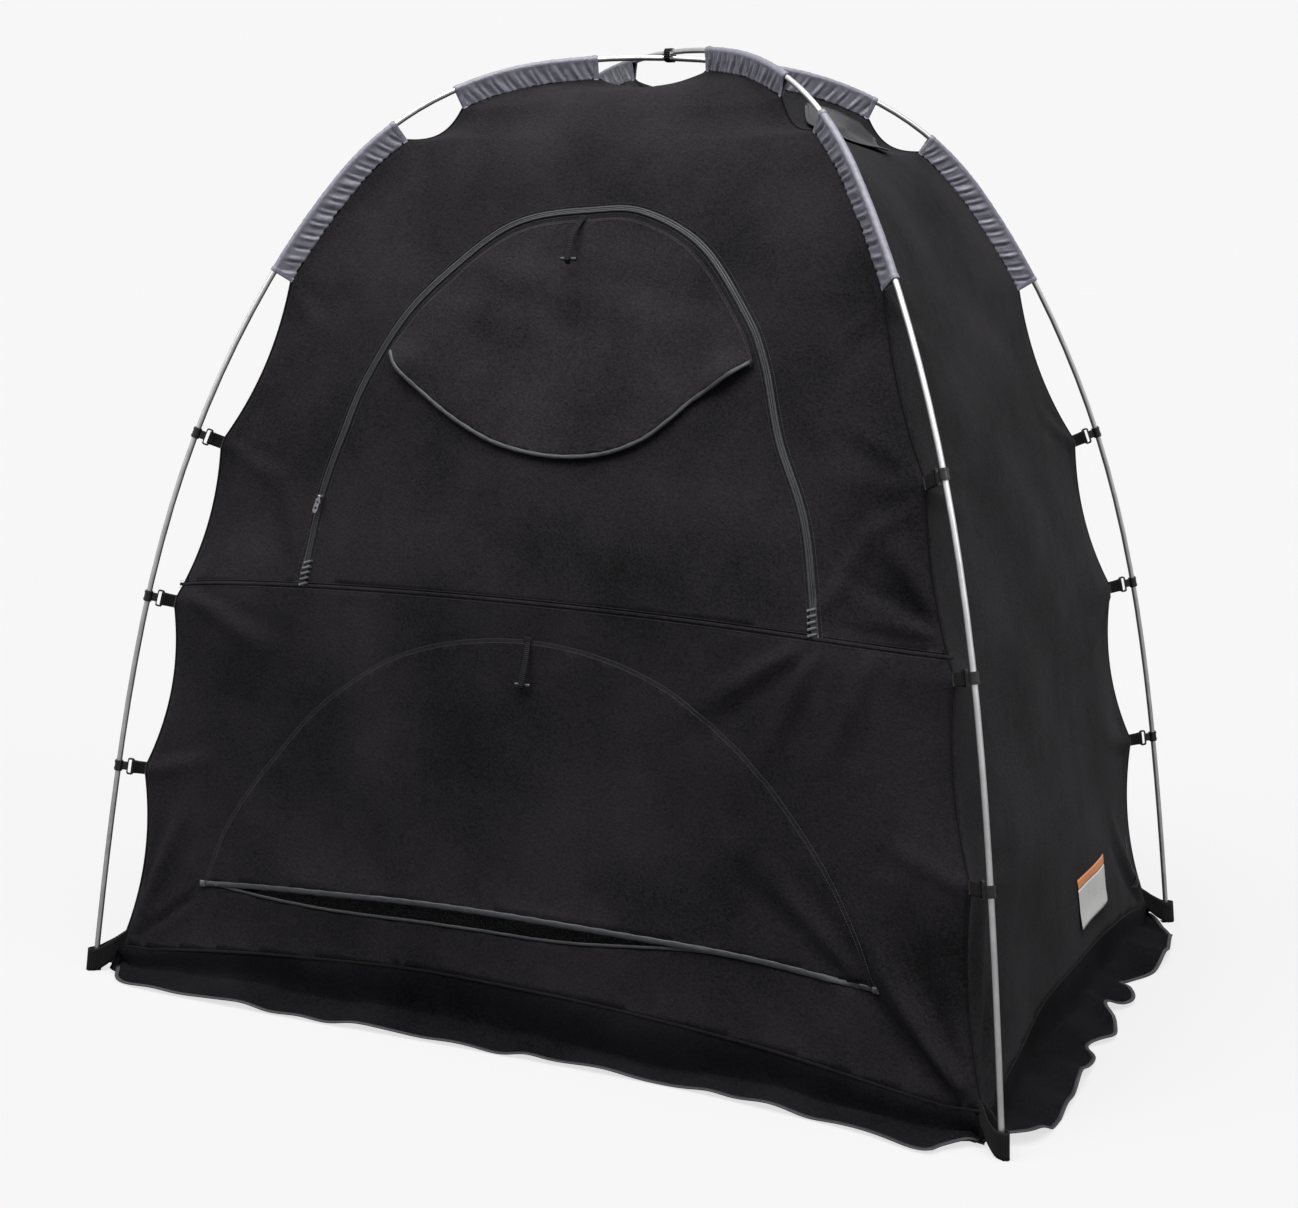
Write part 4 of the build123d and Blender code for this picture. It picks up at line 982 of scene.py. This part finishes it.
def make_sleeve(leg, number, start, end, seed):
    """A gathered satin tunnel: round over the pole, puckered down to the corner seam."""
    random = np.random.default_rng(seed)
    s = np.arange(start, end + 0.0005, 0.0016)
    point, outward, sideways, _ = pole_frame(leg, s)
    radius, reach = POLE_OD / 2 + 0.0014, SLEEVE_GAP
    bend = np.linspace(-0.58 * pi, 0.58 * pi, 17)
    across = np.stack([radius * np.cos(bend), radius * np.sin(bend)], 1)
    (brim, brim_side), (foot, foot_side) = across[-1], (-reach - 0.001, 0.0009)
    f = np.linspace(0, 1, 12)[1:]
    right = np.stack([brim + (foot - brim) * f, brim_side + (foot_side - brim_side) * f ** 0.8], 1)
    profile = np.vstack([right[::-1] * [1, -1], across, right])
    steps = len(s)
    gather = np.zeros(steps)
    for pitch, share in GATHERS:
        drift = np.cumsum(random.normal(0, 0.16, steps))
        gather += share * np.sin(2 * pi * (s - start) / pitch + drift)
    far = np.clip(-profile[:, 0] / reach, 0, 1)
    lean = SLANT * far ** 1.5
    amount = PUCKER * smoothstep(far / 0.8) * (1.15 - far)
    side = np.sign(profile[:, 1])
    shifted = np.stack([np.interp(s + d, s, gather) for d in lean], 1)
    ends = smoothstep((s - start) / 0.008) * smoothstep((end - s) / 0.008)
    swell = shifted * amount * side * ends[:, None]
    crown = 0.00015 * shifted * np.clip(profile[:, 0] / radius, 0, 1)
    sag = 0.0015 * np.sin((s - start) * 60 + seed)[:, None] * far ** 2 * ends[:, None]
    o = profile[:, 0] + crown
    w = profile[:, 1] + swell + sag * 0.3
    points = point[:, None] + outward[:, None] * o[..., None] + sideways[:, None] * w[..., None]
    uv = pairs(run_along(profile), s)
    sleeve = lattice(f"{leg}_sleeve_{number}_cloth", points, "satin", uv)
    thicken(sleeve, SATIN, 0.0)
    dress(sleeve, "canopy", "sleeve_satin", f"{leg}_sleeve_{number}")
    for place, where in (("upper", start + 0.0045), ("lower", end - 0.0045)):
        at = int(np.argmin(np.abs(s - where)))
        ring = points[at]
        centre_side = np.sign(profile[:, 1])[:, None] * sideways[at] * np.clip(far, 0.05, 1)[:, None]
        normals = unit(outward[at] * np.clip(profile[:, 0] / radius, 0, 1)[:, None] + centre_side)
        hem = sweep(f"{leg}_sleeve_{number}_{place}_hem", ring + normals * 0.0004, normals, "sleeve hem",
                    "satin")
        dress(hem, "canopy", "sleeve_satin")


# ---- webbing
WEBBING = 0.0011  # thickness of the clips' webbing
STRAP = 0.0016  # thickness of the foot straps' webbing


def make_tab(leg, number, s):
    """Webbing folded round the clip's bar and sewn to the corner seam."""
    point, outward, sideways, upward = (v[0] for v in pole_frame(leg, s))
    inner, loop = CLIP_GAP + 0.010, 0.0029
    turn = np.linspace(-0.5 * pi, 0.5 * pi, 13)
    path = [(-inner, -0.0012), (-CLIP_GAP, -0.0010), (-BAR_IN - 0.008, -0.0013), (-BAR_IN - 0.003, -0.0027)]
    path += [(-BAR_IN + loop * np.cos(b), loop * np.sin(b)) for b in turn]
    path += [(-BAR_IN - 0.003, 0.0027), (-BAR_IN - 0.008, 0.0013), (-CLIP_GAP, 0.0010), (-inner, 0.0012)]
    path = smooth_line(path, 0.0016)
    width = np.linspace(-TAB_WIDTH / 2, TAB_WIDTH / 2, 9)
    points = (point + outward * path[:, None, :1] + sideways * path[:, None, 1:]
              + upward * width[None, :, None])
    tab = lattice(f"{leg}_tab_{number}", points, "webbing", pairs(width, run_along(path)))
    thicken(tab, WEBBING, 0.0)
    dress(tab, "canopy", "webbing", *(["clip_tabs"] if (leg, number) == ("front_right", 1) else []))
    mark = (point - outward * (CLIP_GAP + 0.001) + upward * (width * 0.9)[:, None])
    for side in (-1, 1):
        name = f"{leg}_tab_{number}_tack_{'in' if side < 0 else 'out'}"
        tack = sweep(name, mark + sideways * side * 0.0014, np.tile(sideways * side, (len(width), 1)),
                     "tab tack", "thread")
        dress(tack, "canopy", "webbing")


def make_strap(leg):
    """Wide ribbed webbing on edge, from the canopy corner round the pole's foot and back."""
    flat = leg_way(leg)
    side = np.cross(UP, flat)
    foot = REACH[-1]
    half = np.array([(-0.052, 0.0015, 0.035), (-0.038, 0.0030, 0.024), (-0.022, 0.0062, 0.011),
                     (-0.004, 0.0074, 0.001), (0.008, 0.0056, 0.0), (0.0135, 0.0, 0.0)])
    path = smooth_line(np.vstack([half, half[-2::-1] * [1, -1, 1]]), 0.003)
    lean = cos(ANGLE[-1])
    height = np.linspace(0.0012, STRAP_HEIGHT, 9)
    narrow = 1 - 0.12 * smoothstep((-0.012 - path[:, 0]) / 0.040)
    z = path[:, None, 2] + height[None, :] * narrow[:, None]
    reach = foot + path[:, None, 0] - lean * (height[None, :] - TUBE_END_Z) * 0.9
    droop = 0.0012 * np.sin(path[:, 0] * 130)[:, None] * (height / STRAP_HEIGHT)[None, :]
    points = flat * reach[..., None] + side * (path[:, None, 1] + droop)[..., None]
    points = points + z[..., None] * UP
    strap = lattice(leg + "_foot_strap", points, "webbing", pairs(height, run_along(path)))
    thicken(strap, STRAP, 0.0)
    dress(strap, "canopy", "webbing", *(["corner_straps"] if leg == "front_right" else []))
    reach_at = np.linspace(-0.009, 0.011, 10)
    base = sweep(leg + "_strap_base", flat * (foot + reach_at)[:, None] + 0.0003 * UP, np.tile(UP, (10, 1)),
                 "strap base", "webbing")
    dress(base, "canopy", "webbing")


def make_tie():
    """The band round the crossing."""
    crossing = TUBE_END_Z + HEIGHT[0] - HEIGHT[-1] + CROSSING_STEP / 2
    half_width, half_height = 0.0124, CROSSING_STEP / 2 + POLE_OD / 2 + 0.0013
    turn = np.linspace(0, 2 * pi, 49)
    c, s = np.cos(turn), np.sin(turn)
    y = np.sign(c) * np.abs(c) ** 0.6 * half_width
    z = crossing + np.sign(s) * np.abs(s) ** 0.6 * half_height
    width = np.linspace(-0.005, 0.005, 5)
    points = np.stack(np.broadcast_arrays(width[None, :], y[:, None], z[:, None]), -1)
    uv = pairs(width, run_along(np.stack([y, z], 1)))
    band = thicken(lattice("crossing_band", points, "webbing", uv), 0.0014, 0.0)
    dress(band, "canopy", "webbing", "crossing_tie")


def make_toggle(name, carrier, top_z, lean):
    """A flat strap that hangs in front of the wall and carries the cross bar."""
    low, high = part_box(name + "_bar")
    end = np.array([(low.x + high.x) / 2, (low.y + high.y) / 2 - 0.0005, high.z - 0.003])
    start = wall("front", 0.0, t_at(top_z + 0.004), 0.0045)
    middle = (start + end) / 2 + np.array([lean, -0.0045, 0.004])
    loop = end + np.array([0, -0.0040, -0.0035])
    under = end + np.array([0, 0.0, -0.0068])
    line = smooth_line([start, middle, end + np.array([0, -0.0042, 0.002]), loop, under], 0.002)
    normals = np.tile([0, -1.0, 0.15], (len(line), 1))
    normals[-4:] = [0, -0.6, -0.8]
    strap = sweep(name + "_webbing", line, normals, "toggle strap", "webbing")
    dress(strap, name, "webbing", name + "_strap")
    anchor = down([(-0.006, top_z + 0.004), (0.006, top_z + 0.004)])
    trim(name + "_anchor", "front", anchor, "toggle anchor", "webbing", carrier, "webbing",
         off=0.0035, step=0.002)


# ---- small parts on the right wall
def make_label():
    """A blank sewn label: a coloured band above a white field."""
    low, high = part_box("sewn_label")
    y0, y1 = low.y + 0.007, high.y + 0.004
    t1, t0 = float(t_at(low.z + 0.018)), float(t_at(high.z - 0.002))
    split = t0 + (t1 - t0) * 0.2

    def off(a, t):
        curl = 0.002 * smoothstep((t - t1 + 0.03) / 0.03)
        return 0.0022 + 0.0012 * np.sin(a * 45) * np.sin((t - t0) * 30) + curl

    for name, top, bottom, material, *nodes in (("label_field", split, t1, "label", "sewn_label"),
                                                ("label_band", t0, split, "band")):
        outline = even(np.array([(y0, top), (y1, top), (y1, bottom), (y0, bottom), (y0, top)]), 0.005)[:-1]
        piece = patch(name, "right", outline, material, off=off, spacing=0.005)
        piece.modifiers["thickness"].thickness = 0.0005
        dress(piece, "canopy", "label_cloth", *nodes)


def make_cord_port():
    """The short zip by the back right corner."""
    low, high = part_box("cord_port_zip")
    middle = (low.y + high.y) / 2
    line = down([(middle, high.z), (middle, (low.z + high.z) / 2), (middle, low.z)])
    trim("cord_port_tape", "right", line, "port tape", "binding", "canopy", "zip_tape", "cord_port_zip")
    trim("cord_port_coil", "right", line, "port coil", "coil", "canopy", "zip_tape", step=0.0012,
         scale=lambda u: 1 + 0.2 * np.sin(u * 300))


def make_roof_flap():
    """The round-ended satin flap that hangs over the right gore."""
    reach, width, straight, clear = 0.282, 0.118, 0.062, 0.020
    turn = np.linspace(0, pi, 40)
    outline = [(-width / 2, clear), (-width / 2, clear + straight)]
    outline += [(-width / 2 * np.cos(b), clear + straight + width / 2 * np.sin(b)) for b in turn]
    outline += [(width / 2, clear)]
    outline = even(np.array(outline + outline[:1]), 0.006)[:-1]

    def on_gore(points):
        along, aside = points[:, 0] + reach, points[:, 1]
        x, y = along * DX + aside * DY, along * DY - aside * DX
        return np.stack([y, np.interp(x / DX, WALL_REACH, S)], 1)

    def off(a, t):
        return 0.006 + 0.002 * np.sin(a * 60 + t * 20)

    cloth = patch("roof_flap_cloth", "right", on_gore(outline), "shaded_flap_satin", off=off, spacing=0.007)
    dress(cloth, "roof_flap", "sleeve_satin", "roof_vent_flap")
    free = on_gore(outline[(outline[:, 1] > clear + 0.001)])
    trim("roof_flap_binding", "right", free, "roof flap edge", "binding", "roof_flap", "zip_tape",
         off=off)


# ---- carried-over CAD nodes
FINISH = {
    "tubes": "aluminium", "ferrules": "aluminium", "shock_cord": "cord", "end_tips": "tip",
    "bar": "clip", "slider": "metal", "pull": "metal",
}


def finish_nodes():
    for name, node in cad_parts.items():
        material = "clip" if "_clip_" in name else None
        for ending, choice in FINISH.items():
            if name.endswith(ending):
                material = choice
        if material is None:
            continue
        if not node.material_slots:
            node.data.materials.append(M[material])
        for slot in node.material_slots:
            slot.material = M[material]


# ---- stage
SURROUND = 0.930  # the backdrop as the camera sees it
AMBIENT = 0.11  # its light on the object
FLOOR = 0.11  # albedo of the floor
MIRRORED = 0.55  # share of the backdrop that reflections see
SUNS = {  # direction towards the lamp, strength and width in degrees
    "top": ((0.05, -0.30, 1.0), 5.4, 60),
    "key": ((-0.85, -0.85, 1.1), 0.75, 40),
    "fill": ((1.0, -0.25, 0.75), 0.6, 40),
}


def make_stage():
    """A pale floor, an even pale surround and soft studio light."""
    size = 60.0
    floor = build("floor", [(-size, -size, 0), (size, -size, 0), (size, size, 0), (-size, size, 0)],
                  [(0, 1, 2, 3)], "label")
    made = Shader("floor_white", (FLOOR, FLOOR, FLOOR), 0.9, Specular_IOR_Level=0.0,
                  Emission_Color=(1, 1, 1, 1))
    lit = AMBIENT + sum(power * unit(np.array(way))[2] for way, power, _ in SUNS.values()) / pi
    seen = made.node("ShaderNodeLightPath").outputs["Is Camera Ray"]
    made.links.new(made.span(seen, 0.04, SURROUND - FLOOR * lit), made.shader.inputs["Emission Strength"])
    floor.data.materials[0] = made.material
    world = bpy.data.worlds.new("surround")
    world.use_nodes = True
    background = world.node_tree.nodes["Background"]
    background.inputs["Color"].default_value = (1, 1, 1, 1)
    nodes, links = world.node_tree.nodes, world.node_tree.links
    path = nodes.new("ShaderNodeLightPath").outputs
    seen = nodes.new("ShaderNodeMath")
    seen.operation = "MULTIPLY_ADD"
    seen.inputs[1].default_value = MIRRORED
    links.new(path["Is Glossy Ray"], seen.inputs[0])
    links.new(path["Is Camera Ray"], seen.inputs[2])
    level = nodes.new("ShaderNodeMapRange")
    level.inputs["To Min"].default_value = AMBIENT
    level.inputs["To Max"].default_value = SURROUND
    links.new(seen.outputs[0], level.inputs["Value"])
    links.new(level.outputs["Result"], background.inputs["Strength"])
    bpy.context.scene.world = world
    for name, (way, power, wide) in SUNS.items():
        data = bpy.data.lights.new(name, "SUN")
        data.energy, data.angle = power, radians(wide)
        lamp = bpy.data.objects.new(name, data)
        bpy.context.scene.collection.objects.link(lamp)
        lamp.rotation_mode = "QUATERNION"
        lamp.rotation_quaternion = Vector(way).to_track_quat("Z", "Y")


# ---- build
make_stage()
finish_nodes()
make_front()
for side in ("right", "back", "left"):
    make_wall(side)
make_edges()
make_door()
make_hood()
make_lower_flap()
for side in FACINGS:
    make_skirt(side)
for index, leg in enumerate(LEGS):
    for number, (start, end) in enumerate(SLEEVES, start=1):
        make_sleeve(leg, number, start, end, 10 * index + number)
    for number, s in enumerate(CLIPS, start=1):
        make_tab(leg, number, s)
    make_strap(leg)
make_tie()
make_toggle("upper_toggle", "door", 1.214, -0.004)
make_toggle("lower_toggle", "lower_flap", 0.603, 0.003)
make_label()
make_cord_port()
make_roof_flap()
